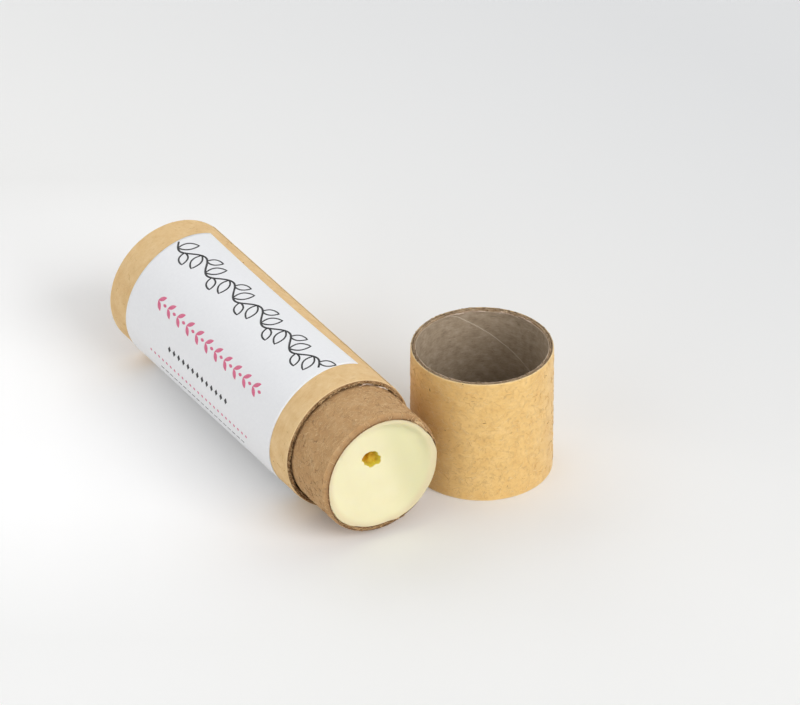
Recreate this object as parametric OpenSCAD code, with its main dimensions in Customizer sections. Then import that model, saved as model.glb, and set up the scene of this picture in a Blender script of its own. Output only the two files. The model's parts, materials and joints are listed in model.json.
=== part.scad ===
// A lip balm stick in a paper push-up tube, with its cap taken off.
// The tube lies on its side with its open end towards +X. The cap stands
// beside it on its closed end, with its mouth up. All sizes are millimetres.
// The origin is the middle of the footprint, on the surface they rest on.

/* [Outer tube] */
// Outside diameter of the outer tube and of the cap
tube_d = 22; // [16:0.5:32]
// Length of the outer tube, from its base to its shoulder
tube_len = 53.6; // [40:0.1:90]

/* [Inner tube] */
// How far the inner tube stands out of the outer one, as the neck
neck_out = 9.6; // [6:0.1:14]
// Radial clearance of the inner tube in the outer tube and in the cap
neck_fit = 0.08; // [0.05:0.01:0.3]

/* [Paper] */
// Thickness of the kraft paper wrapped round each tube
wrap_t = 0.14; // [0.08:0.01:0.25]
// Thickness of each of the two board plies under the wrap
ply_t = 0.24; // [0.2:0.02:0.6]
// Thickness of the lining inside each tube
lining_t = 0.14; // [0.08:0.01:0.25]
// Thickness of the glue between two layers of paper
glue_t = 0.02; // [0.01:0.01:0.05]

/* [Cap] */
// Height of the cap
cap_h = 21.2; // [16:0.1:40]
// Thickness of the board disc that closes the cap
cap_board_t = 1; // [0.5:0.1:2]
// How far the closed end is set in from the cap's foot
cap_inset = 0.3; // [0.1:0.1:1]

/* [Piston] */
// Length of the board ring that holds the foot of the balm
piston_len = 8; // [5:0.5:12]
// Wall of that ring
piston_wall = 0.6; // [0.4:0.1:1.2]
// Radial clearance of the piston in the inner tube
piston_fit = 0.06; // [0.05:0.01:0.15]
// Thickness of the board disc that closes the piston
piston_board_t = 1; // [0.5:0.1:2]
// How far the piston is set in from the base of the tube
base_recess = 2; // [1:0.5:4]

/* [Balm] */
// Radial gap that the balm leaves to the inner tube as it sets
balm_gap = 0.08; // [0.06:0.01:0.2]
// Depth of the balm's face below the rim of the neck
balm_low = 0.3; // [0.1:0.1:2]
// Radius of the rounded edge of the balm's face
balm_edge = 0.5; // [0.2:0.1:1.5]
// Depth of the hollow that the setting balm sank into
sink_depth = 2.6; // [0.5:0.1:4]
// Size of that hollow, across its corners
sink_d = 3.6; // [2:0.1:5]
// Place of the hollow above the middle of the face
sink_up = 3.1; // [-4:0.1:4]
// Place of the hollow beside the middle of the face, away from the cap
sink_aside = 1.6; // [-4:0.1:4]

/* [Label] */
// Thickness of the paper label with its adhesive
label_t = 0.1; // [0.05:0.01:0.2]
// Length of the label along the tube
label_len = 43.8; // [20:0.1:44]
// Distance of the label from the shoulder of the tube
label_from_shoulder = 4.9; // [1:0.1:8]
// Edge of the label on the cap's side, in degrees from the top of the tube
label_edge_angle = 24.5; // [0:0.5:60]
// How far the label runs round the tube from there, in degrees
label_wrap = 196.5; // [120:0.5:200]

/* [Layout] */
// Gap between the side of the tube and the cap beside it
cap_gap = 1.5; // [1:0.1:20]
// Distance of the cap's axis past the shoulder, towards the neck
cap_ahead = 0.7; // [0:0.1:10]

/* [Hidden] */
$fn = 128;
BOARD_PLIES = 2;
// one small length, by which a cut passes the surface that it opens
PAST = 1;

tube_r = tube_d / 2;
// every tube has the same wall: wrap, board plies and lining, with glue between
wall = wrap_t + BOARD_PLIES * ply_t + lining_t + (BOARD_PLIES + 1) * glue_t;
cap_bore_r = tube_r - wall;
neck_r = cap_bore_r - neck_fit;
inner_r = neck_r - wall;
inner_len = tube_len + neck_out;

// the radius of the outside of each layer, in a tube of the outside radius r
function outer_ply_r(r) = r - wrap_t - glue_t;
function inner_ply_r(r) = outer_ply_r(r) - ply_t - glue_t;
function lining_r(r) = inner_ply_r(r) - ply_t - glue_t;

// the piston, measured from the base of the tube along its axis
piston_r = inner_r - piston_fit;
cup_r = piston_r - piston_wall;
cover_at = base_recess;
ring_at = cover_at + wrap_t + glue_t;
disc_top = ring_at + piston_board_t;
seal_at = disc_top + glue_t;
balm_at = seal_at + lining_t + glue_t;
ring_top = ring_at + piston_len;
balm_top = inner_len - balm_low;
balm_r = inner_r - balm_gap;
balm_foot_r = cup_r - glue_t;
// the piston stops where its ring comes level with the rim of the neck
push_up_travel = inner_len - ring_top;

// the cap, measured up from its foot
cap_cover_at = cap_inset;
cap_disc_at = cap_cover_at + wrap_t + glue_t;
cap_end_lining_at = cap_disc_at + cap_board_t + glue_t;
cap_floor = cap_end_lining_at + lining_t;
// the lining stands on the end disc, which reaches out to the board plies
cap_plug_r = lining_r(tube_r);
cap_lining_at = cap_floor + glue_t;

// the outline of the sunken hollow: the angle and share of the size of each corner
SINK_CORNERS = [[20, 0.9], [70, 0.85], [125, 1], [180, 0.75], [235, 0.85], [290, 0.8], [335, 0.8]];

// the footprint, with the tube's axis at y = 0 and its shoulder at x = 0
cap_x = cap_ahead;
cap_y = tube_d + cap_gap;
x_low = -tube_len;
x_high = max(neck_out, cap_x + tube_r);
y_low = -tube_r - label_t;
y_high = cap_y + tube_r;
centre_x = (x_low + x_high) / 2;
centre_y = (y_low + y_high) / 2;

echo(neck_r = neck_r, inner_r = inner_r, cap_bore_r = cap_bore_r, cap_depth = cap_h - cap_floor);
echo(push_up_travel = push_up_travel, cap_clears_at = tube_d + label_t);
echo(base_x = x_low - centre_x, shoulder_x = -centre_x, tube_y = -centre_y);
echo(cap_x = cap_x - centre_x, cap_y = cap_y - centre_y);

// what lies along +Z with the tube's base at z = 0 is laid down along +X
module laid_down() {
    translate([x_low - centre_x, -centre_y, tube_r])
        rotate([0, 90, 0])
            children();
}

// the cap stands upright on its closed end, beside the tube
module stood_up() {
    translate([cap_x - centre_x, cap_y - centre_y, 0])
        children();
}

// one layer of paper in a tube
module layer(r, thickness, length) {
    difference() {
        cylinder(r = r, h = length);
        translate([0, 0, -PAST])
            cylinder(r = r - thickness, h = length + 2 * PAST);
    }
}

// a disc of board or paper, its underside at z
module disc(r, thickness, z) {
    translate([0, 0, z])
        cylinder(r = r, h = thickness);
}

// the outer tube
module tube_wrap() {
    color("#d9b98c") laid_down() layer(tube_r, wrap_t, tube_len);
}

module tube_outer_ply() {
    color("#8d735a") laid_down() layer(outer_ply_r(tube_r), ply_t, tube_len);
}

module tube_inner_ply() {
    color("#7d6650") laid_down() layer(inner_ply_r(tube_r), ply_t, tube_len);
}

module tube_lining() {
    color("#94795b") laid_down() layer(lining_r(tube_r), lining_t, tube_len);
}

// the label is stuck on the outer tube and leaves a bare strip on the cap's side
module label() {
    color("#ebebed")
        laid_down()
            translate([0, 0, tube_len - label_from_shoulder - label_len])
                rotate([0, 0, 180 - label_edge_angle])
                    rotate_extrude(angle = label_wrap)
                        translate([tube_r, 0])
                            square([label_t, label_len]);
}

// the inner tube runs the whole length, and its kraft wrap covers the neck that stands out
module neck_wrap() {
    color("#b08f65")
        laid_down()
            translate([0, 0, tube_len])
                layer(neck_r, wrap_t, neck_out);
}

module neck_outer_ply() {
    color("#8a6f55") laid_down() layer(outer_ply_r(neck_r), ply_t, inner_len);
}

module neck_inner_ply() {
    color("#7b644d") laid_down() layer(inner_ply_r(neck_r), ply_t, inner_len);
}

module neck_lining() {
    color("#a78a66") laid_down() layer(lining_r(neck_r), lining_t, inner_len);
}

// the piston, which a finger pushes up from the base
module base_cover() {
    color("#c9a678") laid_down() disc(piston_r, wrap_t, cover_at);
}

module piston_disc() {
    color("#86705c") laid_down() disc(cup_r - glue_t, piston_board_t, ring_at);
}

module piston_ring() {
    color("#8f775f")
        laid_down()
            translate([0, 0, ring_at])
                layer(piston_r, piston_wall, piston_len);
}

module balm_seal() {
    color("#e6dcc0") laid_down() disc(cup_r - glue_t, lining_t, seal_at);
}

// the balm fills the piston's cup, then the inner tube, and ends in a rounded edge
module balm_stick() {
    rounding = [for (a = [0 : 15 : 90])
        [balm_r - balm_edge * (1 - cos(a)), balm_top - balm_edge * (1 - sin(a))]];
    rotate_extrude()
        polygon(concat(
            [[0, balm_at], [balm_foot_r, balm_at], [balm_foot_r, ring_top + glue_t],
             [balm_r, ring_top + glue_t]],
            rounding,
            [[0, balm_top]]
        ));
}

module sunken_hollow() {
    translate([-sink_up, -sink_aside, balm_top - sink_depth])
        linear_extrude(sink_depth + PAST)
            polygon([for (c = SINK_CORNERS) sink_d / 2 * c[1] * [cos(c[0]), sin(c[0])]]);
}

module balm() {
    color("#f4e9bf")
        laid_down()
            difference() {
                balm_stick();
                sunken_hollow();
            }
}

// the cap, cut from the same tube as the outer tube and closed with a glued disc
module cap_wrap() {
    color("#dcbb8c") stood_up() layer(tube_r, wrap_t, cap_h);
}

module cap_outer_ply() {
    color("#8d735a") stood_up() layer(outer_ply_r(tube_r), ply_t, cap_h);
}

module cap_inner_ply() {
    color("#7d6650") stood_up() layer(inner_ply_r(tube_r), ply_t, cap_h);
}

module cap_lining() {
    color("#8a7866")
        stood_up()
            translate([0, 0, cap_lining_at])
                layer(lining_r(tube_r), lining_t, cap_h - cap_lining_at);
}

module cap_end_disc() {
    color("#86705c") stood_up() disc(cap_plug_r, cap_board_t, cap_disc_at);
}

module cap_end_cover() {
    color("#d3b183") stood_up() disc(cap_plug_r, wrap_t, cap_cover_at);
}

module cap_end_lining() {
    color("#7c6b5a") stood_up() disc(cap_plug_r, lining_t, cap_end_lining_at);
}

tube_wrap();
tube_outer_ply();
tube_inner_ply();
tube_lining();
label();
neck_wrap();
neck_outer_ply();
neck_inner_ply();
neck_lining();
base_cover();
piston_disc();
piston_ring();
balm_seal();
balm();
cap_wrap();
cap_outer_ply();
cap_inner_ply();
cap_lining();
cap_end_disc();
cap_end_cover();
cap_end_lining();
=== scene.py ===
# %% [markdown]
# A lip balm stick in a paper push-up tube, lying on its side with its cap off and standing beside it.
# Everything that carries or moves was made as exact solids first: two spiral-wound paper tubes, one
# glued inside the other, a board piston, the balm cast on it and a cap cut from the same tube.
# Here those solids get their looks: paper with fibres in it, rough cut rims, a printed label and wax.
# A cell loads the solids, then each piece gets a cell that says what it is and how it could be made.

# %% Load the frame
import json
import math

import bmesh
import bpy
from mathutils import Matrix, Vector, noise


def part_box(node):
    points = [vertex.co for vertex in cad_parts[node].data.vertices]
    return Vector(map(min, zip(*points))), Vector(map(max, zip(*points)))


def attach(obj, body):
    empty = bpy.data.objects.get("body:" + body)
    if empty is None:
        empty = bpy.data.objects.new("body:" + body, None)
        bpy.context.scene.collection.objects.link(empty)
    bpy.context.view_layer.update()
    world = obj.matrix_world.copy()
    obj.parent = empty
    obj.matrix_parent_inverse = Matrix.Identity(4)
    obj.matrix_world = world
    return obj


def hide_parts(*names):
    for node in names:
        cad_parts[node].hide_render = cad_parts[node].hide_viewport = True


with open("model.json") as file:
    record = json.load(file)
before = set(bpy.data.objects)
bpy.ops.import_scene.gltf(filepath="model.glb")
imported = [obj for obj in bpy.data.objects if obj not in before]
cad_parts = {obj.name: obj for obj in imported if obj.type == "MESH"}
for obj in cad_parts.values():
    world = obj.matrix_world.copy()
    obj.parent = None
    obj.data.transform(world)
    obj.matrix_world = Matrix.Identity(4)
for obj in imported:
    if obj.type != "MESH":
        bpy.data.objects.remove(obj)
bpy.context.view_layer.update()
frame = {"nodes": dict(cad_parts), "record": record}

MM = 0.001

# %% [markdown]
# Every place in this script comes from the frame. The neck and the cap's bore are stated as mounts,
# so their axes and radii are known exactly, and a ring's own vertices give its two radii. Reading the
# sizes this way, and not typing them again, keeps each dressed piece on the solid that it stands for.

# %% Read the axes and the main lengths
mounts = {m["name"]: m for m in frame["record"]["mounts"]}
neck_middle = Vector(mounts["neck"]["pos_m"])
NECK_OUT = mounts["neck"]["dims"]["length_mm"] * MM
TUBE_Y = neck_middle.y
TUBE_Z = neck_middle.z
SHOULDER = neck_middle.x - NECK_OUT / 2
NECK_TIP = neck_middle.x + NECK_OUT / 2
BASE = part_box("tube_wrap")[0].x
CAP_X, CAP_Y = mounts["cap_bore"]["pos_m"][:2]
CAP_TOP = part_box("cap_wrap")[1].z


def radii(node):
    """The least and greatest distance of a solid's vertices from the axis of its tube."""
    spots = [v.co for v in frame["nodes"][node].data.vertices]
    if node.startswith("cap_"):
        found = [math.hypot(p.x - CAP_X, p.y - CAP_Y) for p in spots]
    else:
        found = [math.hypot(p.y - TUBE_Y, p.z - TUBE_Z) for p in spots]
    return min(found), max(found)


TUBE_R = radii("tube_wrap")[1]
NECK_R = radii("neck_wrap")[1]
INNER_R = radii("neck_lining")[0]
print(f"tube radius {TUBE_R / MM:.2f}, neck radius {NECK_R / MM:.2f}, bore {INNER_R / MM:.2f} mm")

# %% [markdown]
# The tube lies along X and the cap stands along Z. Anything round is made about the Z axis, with its
# angle counted from X, and a matrix then lays it on its own axis. On the tube, the angle is counted
# from the top towards the cap, and the length runs from the base to the neck. That matrix mirrors the
# mesh, so the normals are worked out afresh afterwards.

# %% Lay a piece on its axis
ON_CAP = Matrix.Translation((CAP_X, CAP_Y, 0))
ON_TUBE = Matrix(((0, 0, 1, 0), (0, 1, 0, TUBE_Y), (1, 0, 0, TUBE_Z), (0, 0, 0, 1)))
OUT_OF_ROUND = 0.02 * MM
ROUND_WAVES = ((2, 1.1, 0.5), (3, 0.4, 0.25))
ROUND_INWARDS = 0.75


def round_error(angle):
    """How far a paper tube is from round at an angle. All the layers of one tube share it."""
    waves = sum(share * math.cos(times * angle + start) for times, start, share in ROUND_WAVES)
    return OUT_OF_ROUND * (waves - ROUND_INWARDS)


def on_tube(r, angle, x):
    """A point at radius r about the tube's axis."""
    return (x, TUBE_Y + r * math.sin(angle), TUBE_Z + r * math.cos(angle))


print("a tube is out of round by at most", 2 * ROUND_INWARDS * OUT_OF_ROUND / MM, "mm")

# %% [markdown]
# Every piece ends the same way. Its mesh is closed, so its faces can be turned outwards, and it is shaded
# smooth, because its edges are rounded in the mesh itself. Then it says which body it rides on, so that it
# moves with it, and which solid it stands for. A piece made on the solids' own meshes would keep their few
# long triangles, which can't ripple or tear.

# %% Finish a piece


def finished_mesh(name, mesh):
    """Links a closed mesh as an object, its faces outwards and smooth."""
    work = bmesh.new()
    work.from_mesh(mesh)
    bmesh.ops.recalc_face_normals(work, faces=work.faces)
    work.to_mesh(mesh)
    work.free()
    mesh.polygons.foreach_set("use_smooth", [True] * len(mesh.polygons))
    made = bpy.data.objects.new(name, mesh)
    bpy.context.scene.collection.objects.link(made)
    return made


def dress(piece, surface, body, slot, *nodes):
    """Gives a piece its material, the body it rides on and the solids that it stands for."""
    piece.data.materials.clear()
    piece.data.materials.append(surface)
    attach(piece, body)
    if nodes:
        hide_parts(*nodes)
    print(f"{piece.name}: {sum(len(p.vertices) - 2 for p in piece.data.polygons)} triangles")
    return piece


print("the cap's tube stands at", [round(v / MM, 2) for v in ON_CAP.translation[:2]], "mm")

# %% [markdown]
# The photograph was taken with a long lens from more than a metre away, a little above the table. A
# camera could be placed by eye, but the outlines of the tube and the cap fix it: their ellipses and
# the small difference in scale from front to back give its direction and its distance.

# %% Place the camera
CAMERA_AZIMUTH = math.radians(58.41)
CAMERA_ELEVATION = math.radians(33.05)
CAMERA_DISTANCE = 1237.3 * MM
CAMERA_AIM = Vector((3.4, 8.3, 11.0)) * MM
LENS_MM, SENSOR_MM = 359.9, 36


def direction(azimuth, elevation):
    """The direction from the object to a viewer or a lamp at an azimuth and an elevation."""
    flat = math.cos(elevation)
    return Vector((math.sin(azimuth) * flat, -math.cos(azimuth) * flat, math.sin(elevation)))


def look_at_object(thing, away, distance):
    """Puts a camera or a lamp at a distance in a direction, turned back to the object."""
    thing.location = CAMERA_AIM + away * distance
    thing.rotation_mode = "QUATERNION"
    thing.rotation_quaternion = (-away).to_track_quat("-Z", "Y")
    bpy.context.scene.collection.objects.link(thing)


camera_data = bpy.data.cameras.new("camera")
camera_data.lens = LENS_MM
camera_data.sensor_width = SENSOR_MM
camera_data.clip_start = 0.05
camera = bpy.data.objects.new("camera", camera_data)
look_at_object(camera, direction(CAMERA_AZIMUTH, CAMERA_ELEVATION), CAMERA_DISTANCE)
bpy.context.scene.camera = camera
print("camera at", [round(v / MM) for v in camera.location], "mm")

# %% [markdown]
# Both node systems, for materials and for geometry, are built the same way: a node is made, its
# settings are set, and each of its inputs gets either a value or a link from an earlier output. One
# small function does that for every node in this script.

# %% Add a node, and turn a hex colour linear


def add(tree, kind, inputs=None, output=None, **settings):
    """Adds a node, fills the inputs named or numbered in inputs, and returns one of its outputs."""
    node = tree.nodes.new(kind)
    for name, value in settings.items():
        setattr(node, name, value)
    for socket, value in (inputs or {}).items():
        if isinstance(value, bpy.types.NodeSocket):
            tree.links.new(value, node.inputs[socket])
        else:
            node.inputs[socket].default_value = value
    if output:
        return node.outputs[output]
    return next((o for o in node.outputs if o.enabled), node)


def linear(colour):
    """An sRGB hex colour such as #d9b98c, as linear red, green, blue and alpha."""
    parts = [int(colour[i:i + 2], 16) / 255 for i in (1, 3, 5)]
    return (*[p / 12.92 if p <= 0.04045 else ((p + 0.055) / 1.055) ** 2.4 for p in parts], 1.0)


def new_surface(name):
    """A new material with its tree and its surface shader."""
    made = bpy.data.materials.new(name)
    made.use_nodes = True
    return made, made.node_tree, made.node_tree.nodes["Principled BSDF"]


print("kraft tan in linear light:", [round(c, 3) for c in linear("#dcba86")[:3]])

# %% [markdown]
# Kraft paper is unbleached wood pulp. The eye sees a warm tan, a cloudy tone where the pulp lay
# thicker, fibres drawn out in the direction in which the paper ran, curled hairs that stand in the
# surface and catch the light, and sparse dark flecks of bark. The hairs come first. An image could
# hold them, but nodes stay sharp at any size: they are the lines along which a soft noise crosses its
# middle value, kept only here and there, which gives short curls. Real ones are some hundredths of a
# millimetre wide. They are drawn 0.1 mm wide, because finer ones wouldn't show.

# %% Draw curled hairs
HAIR_MM = 0.75
HAIR_LINE_MM = 0.024
HAIR_PATCHES = {"From Min": 0.52, "From Max": 0.57}


def curled_hairs(tree, place):
    """1 on the short curled lines and 0 off them, from a fine and a coarse layer."""
    hair = None
    for layer, size in ((0.0, HAIR_MM), (5.0, HAIR_MM * 1.6)):
        curls = add(tree, "ShaderNodeTexNoise", {
            "Vector": place, "W": layer, "Scale": 1 / (size * MM), "Detail": 1.0, "Distortion": 1.6},
            noise_dimensions="4D")
        off_line = add(tree, "ShaderNodeMath", {0: curls, 1: 0.5}, operation="SUBTRACT")
        off_line = add(tree, "ShaderNodeMath", {0: off_line}, operation="ABSOLUTE")
        on_line = add(tree, "ShaderNodeMapRange", {
            "Value": off_line, "From Max": HAIR_LINE_MM / size, "To Min": 1.0, "To Max": 0.0})
        patches = add(tree, "ShaderNodeTexNoise", {
            "Vector": place, "W": layer + 3.0, "Scale": 1.2 / (size * MM), "Detail": 0.0},
            noise_dimensions="4D")
        kept = add(tree, "ShaderNodeMapRange", {"Value": patches, **HAIR_PATCHES})
        kept = add(tree, "ShaderNodeMath", {0: on_line, 1: kept}, operation="MULTIPLY")
        hair = kept if hair is None else add(tree, "ShaderNodeMath", {0: hair, 1: kept}, operation="MAXIMUM")
    return hair


print("hairs curl within", HAIR_MM, "mm and", round(HAIR_MM * 1.6, 2), "mm")

# %% [markdown]
# The rest of the paper is one recipe for every wrap, lining and board here, because they differ only
# in their tones and in how coarse, hairy and glossy they are. The layers carry a UV map measured in
# metres round and along the tube, so the pattern follows the surface. Clouds and drawn out fibres are
# mixed and read off a ramp of three tones of one colour, then come hairs and flecks. Three more tones
# take over beside a seam, near a cut and on the cut face, where the layer itself says how near those
# are. A shallow bump lifts the hairs and the pulp.

# %% Make the paper recipe
FIBRE_LONG_MM = 1.3
FIBRE_WIDE_MM = 0.3
CLOUD_MM = 2.6
FLECK_MM = 0.5
RELIEF_MM = 0.07
TONE_STOPS = (0.36, 0.5, 0.64)
FLECK_RANGE = {"From Min": 0.68, "From Max": 0.76}
SEAM_FROM = 0.2
CUT_FACE_FROM, CUT_FACE_TO = 0.95, 0.99


def paper(name, pale, middle, dark, fleck, source="UV", stretched=0.45, hairs=0.5, flecks=0.5, depth=1.0,
          roughness=0.86, gloss=0.25, sheen=0.0, clouds_mm=CLOUD_MM, hair_shade=None, seam=None, cut=None,
          cut_from=0.72, cut_face=None):
    """Uncoated paper or board, in three tones and a fleck's. A tone that is left out isn't mixed in.

    stretched is the share of fibres against clouds, hairs and flecks are how strongly those show, depth
    is that of the relief, and cut_from is how near to a cut its tone begins."""
    made, tree, shader = new_surface(name)
    place = add(tree, "ShaderNodeTexCoord", output=source)
    clouds = add(tree, "ShaderNodeTexNoise", {
        "Vector": place, "Scale": 1 / (clouds_mm * MM), "Detail": 5.0, "Roughness": 0.66})
    drawn = add(tree, "ShaderNodeMapping", {
        "Vector": place, "Scale": [1 / (s * MM) for s in (FIBRE_LONG_MM, FIBRE_WIDE_MM, FIBRE_WIDE_MM)]})
    fibres = add(tree, "ShaderNodeTexNoise", {
        "Vector": drawn, "Scale": 1.0, "Detail": 3.0, "Roughness": 0.6, "Distortion": 1.2})
    tone = add(tree, "ShaderNodeMix", {"Factor": stretched, "A": clouds, "B": fibres})
    colour = add(tree, "ShaderNodeValToRGB", {"Fac": tone})
    stops = colour.node.color_ramp.elements
    stops.new(0.5)
    for stop, position, shade in zip(stops, TONE_STOPS, (dark, middle, pale)):
        stop.position = position
        stop.color = linear(shade)

    hair = curled_hairs(tree, place)
    share = add(tree, "ShaderNodeMath", {0: hair, 1: min(1.0, 0.7 * hairs)}, operation="MULTIPLY")
    colour = add(tree, "ShaderNodeMix", {"Factor": share, "A": colour, "B": linear(hair_shade or pale)},
                 data_type="RGBA")
    specks = add(tree, "ShaderNodeTexNoise", {
        "Vector": drawn, "W": 8.0, "Scale": FIBRE_WIDE_MM / FLECK_MM * 1.6, "Detail": 1.5},
        noise_dimensions="4D")
    share = add(tree, "ShaderNodeMapRange", {"Value": specks, **FLECK_RANGE, "To Max": flecks})
    colour = add(tree, "ShaderNodeMix", {"Factor": share, "A": colour, "B": linear(fleck)}, data_type="RGBA")
    for shade, attribute, near, full in ((seam, "seam", SEAM_FROM, 1.0), (cut, "cut", cut_from, 1.0),
                                         (cut_face, "cut", CUT_FACE_FROM, CUT_FACE_TO)):
        if shade:
            share = add(tree, "ShaderNodeAttribute", output="Fac", attribute_name=attribute)
            share = add(tree, "ShaderNodeMapRange", {
                "Value": share, "From Min": near, "From Max": full, "To Max": 0.8})
            colour = add(tree, "ShaderNodeMix", {"Factor": share, "A": colour, "B": linear(shade)},
                         data_type="RGBA")
    tree.links.new(colour, shader.inputs["Base Color"])

    relief = add(tree, "ShaderNodeMix", {"Factor": 0.5, "A": fibres, "B": clouds})
    raised = add(tree, "ShaderNodeMath", {0: hair, 1: 0.75 * hairs, 2: relief}, operation="MULTIPLY_ADD")
    bumps = add(tree, "ShaderNodeBump", {
        "Height": raised, "Strength": 0.8, "Distance": RELIEF_MM * MM * depth})
    tree.links.new(bumps, shader.inputs["Normal"])
    shader.inputs["Roughness"].default_value = roughness
    shader.inputs["Specular IOR Level"].default_value = gloss
    shader.inputs["Sheen Weight"].default_value = sheen
    return made


print("fibres run", FIBRE_LONG_MM, "mm long and", FIBRE_WIDE_MM, "mm wide, flecks are", FLECK_MM, "mm")

# %% [markdown]
# A geometry tree is a recipe with named inputs. It runs as a modifier on an object, and each of its inputs is
# set by the socket's identifier before the object is first evaluated. The result is then kept as a plain mesh
# and the modifier goes, so nothing is left to run.

# %% Build and run geometry trees


def new_recipe(name, sizes):
    """A geometry tree with a named input for each size, one for the material and one output."""
    tree = bpy.data.node_groups.new(name, "GeometryNodeTree")
    tree.interface.new_socket("Geometry", in_out="INPUT", socket_type="NodeSocketGeometry")
    for label, kind in {**sizes, "Surface": "Material"}.items():
        tree.interface.new_socket(label, in_out="INPUT", socket_type="NodeSocket" + kind)
    tree.interface.new_socket("Geometry", in_out="OUTPUT", socket_type="NodeSocketGeometry")
    return tree, tree.nodes.new("NodeGroupInput").outputs


def end_recipe(tree, geometry, surface):
    """Every recipe ends in real geometry with its material set."""
    real = add(tree, "GeometryNodeRealizeInstances", {"Geometry": geometry})
    painted = add(tree, "GeometryNodeSetMaterial", {"Geometry": real, "Material": surface})
    tree.links.new(painted, tree.nodes.new("NodeGroupOutput").inputs["Geometry"])


def run_recipe(name, tree, values, start=None):
    """Runs a tree once on a start mesh and returns the plain mesh that it makes."""
    holder = bpy.data.objects.new(name, start or bpy.data.meshes.new(name))
    bpy.context.scene.collection.objects.link(holder)
    run = holder.modifiers.new("recipe", "NODES")
    run.node_group = tree
    for item in tree.interface.items_tree:
        if item.in_out == "INPUT" and item.name in values:
            run[item.identifier] = values[item.name]
    seen = holder.evaluated_get(bpy.context.evaluated_depsgraph_get())
    mesh = bpy.data.meshes.new_from_object(seen)
    mesh.name = name
    holder.modifiers.remove(run)
    bpy.data.objects.remove(holder)
    return mesh


print("Blender", bpy.app.version_string)

# %% [markdown]
# Two steps come back in every recipe about a tube. One puts a point at an angle, a radius and a
# height about the Z axis. The other gives a radius the error that all the layers of a tube share, so
# that what lies on the tube follows it. They are written once, as small groups of nodes.

# %% Go round the axis in a tree


def about_axis(tree, angle, radius, height):
    """The place at an angle, a radius and a height about the axis."""
    cosine = add(tree, "ShaderNodeMath", {0: angle}, operation="COSINE")
    sine = add(tree, "ShaderNodeMath", {0: angle}, operation="SINE")
    x = add(tree, "ShaderNodeMath", {0: radius, 1: cosine}, operation="MULTIPLY")
    y = add(tree, "ShaderNodeMath", {0: radius, 1: sine}, operation="MULTIPLY")
    return add(tree, "ShaderNodeCombineXYZ", {"X": x, "Y": y, "Z": height})


def out_of_round(tree, angle, radius):
    """The radius with the tube's own error at that angle."""
    for times, start, share in ROUND_WAVES:
        wave = add(tree, "ShaderNodeMath", {0: angle, 1: float(times), 2: start}, operation="MULTIPLY_ADD")
        wave = add(tree, "ShaderNodeMath", {0: wave}, operation="COSINE")
        radius = add(tree, "ShaderNodeMath", {0: wave, 1: OUT_OF_ROUND * share, 2: radius},
                     operation="MULTIPLY_ADD")
    return add(tree, "ShaderNodeMath", {0: radius, 1: -ROUND_INWARDS * OUT_OF_ROUND}, operation="ADD")


print("a tube's error is the sum of", len(ROUND_WAVES), "waves round it")

# %% [markdown]
# A paper tube is a strip wound on a mandrel and knifed to length. Its wall is round and smooth to the
# touch but never perfect: the surface undulates with the plies below, the strip's edges meet in a
# helix or overlap in a step, and the cut ends wander and are torn where the soft board shows. A
# cylinder with a bump map would show none of that at the outline or at the rims, and a lathe or the
# Screw modifier would make it too even. The shape follows a rule, so a geometry tree makes it: it
# takes the outline of a wall, turns it about the axis, and moves every point by the rule.

# %% Draw the outline of a paper wall


def wall_outline(r_out, r_in, low, high, corner, rows_out, rows_in, rows_end=4):
    """A closed outline of (radius, along) with rounded corners, and the rows that each side needs."""
    def corner_points(r, along, start):
        turns = [math.radians(start + a) for a in (30, 60)]
        return [(r + corner * math.cos(t), along + corner * math.sin(t)) for t in turns]

    def rows(start, end, count):
        return [start + (end - start) * k / count for k in range(count + 1)]

    foot, top = low + corner, high - corner
    outside, inside = r_out - corner, r_in + corner
    outline = [(r_out, s) for s in rows(foot, top, rows_out)] + corner_points(outside, top, 0)
    outline += [(r, high) for r in rows(outside, inside, rows_end)] + corner_points(inside, top, 90)
    outline += [(r_in, s) for s in rows(top, foot, rows_in)] + corner_points(inside, foot, 180)
    outline += [(r, low) for r in rows(inside, outside, rows_end)] + corner_points(outside, foot, 270)
    return outline + outline[:1]


def outline_mesh(name, outline):
    """The outline as a row of points with the length run so far, for the tree to read by number."""
    mesh = bpy.data.meshes.new(name)
    mesh.from_pydata([(r, 0, along) for r, along in outline], [], [])
    run = [0.0]
    for (r0, a0), (r1, a1) in zip(outline, outline[1:]):
        run.append(run[-1] + math.hypot(r1 - r0, a1 - a0))
    mesh.attributes.new("run", "FLOAT", "POINT").data.foreach_set("value", run)
    return mesh


print("an outline of the tube's wrap has", len(wall_outline(11, 10.86, 0, 53, 0.05, 120, 2)), "points")

# %% [markdown]
# The first part of the tree numbers the points of a grid, column by column. A column is a step round
# the axis, and a point's row tells which point of the outline it copies.

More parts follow.
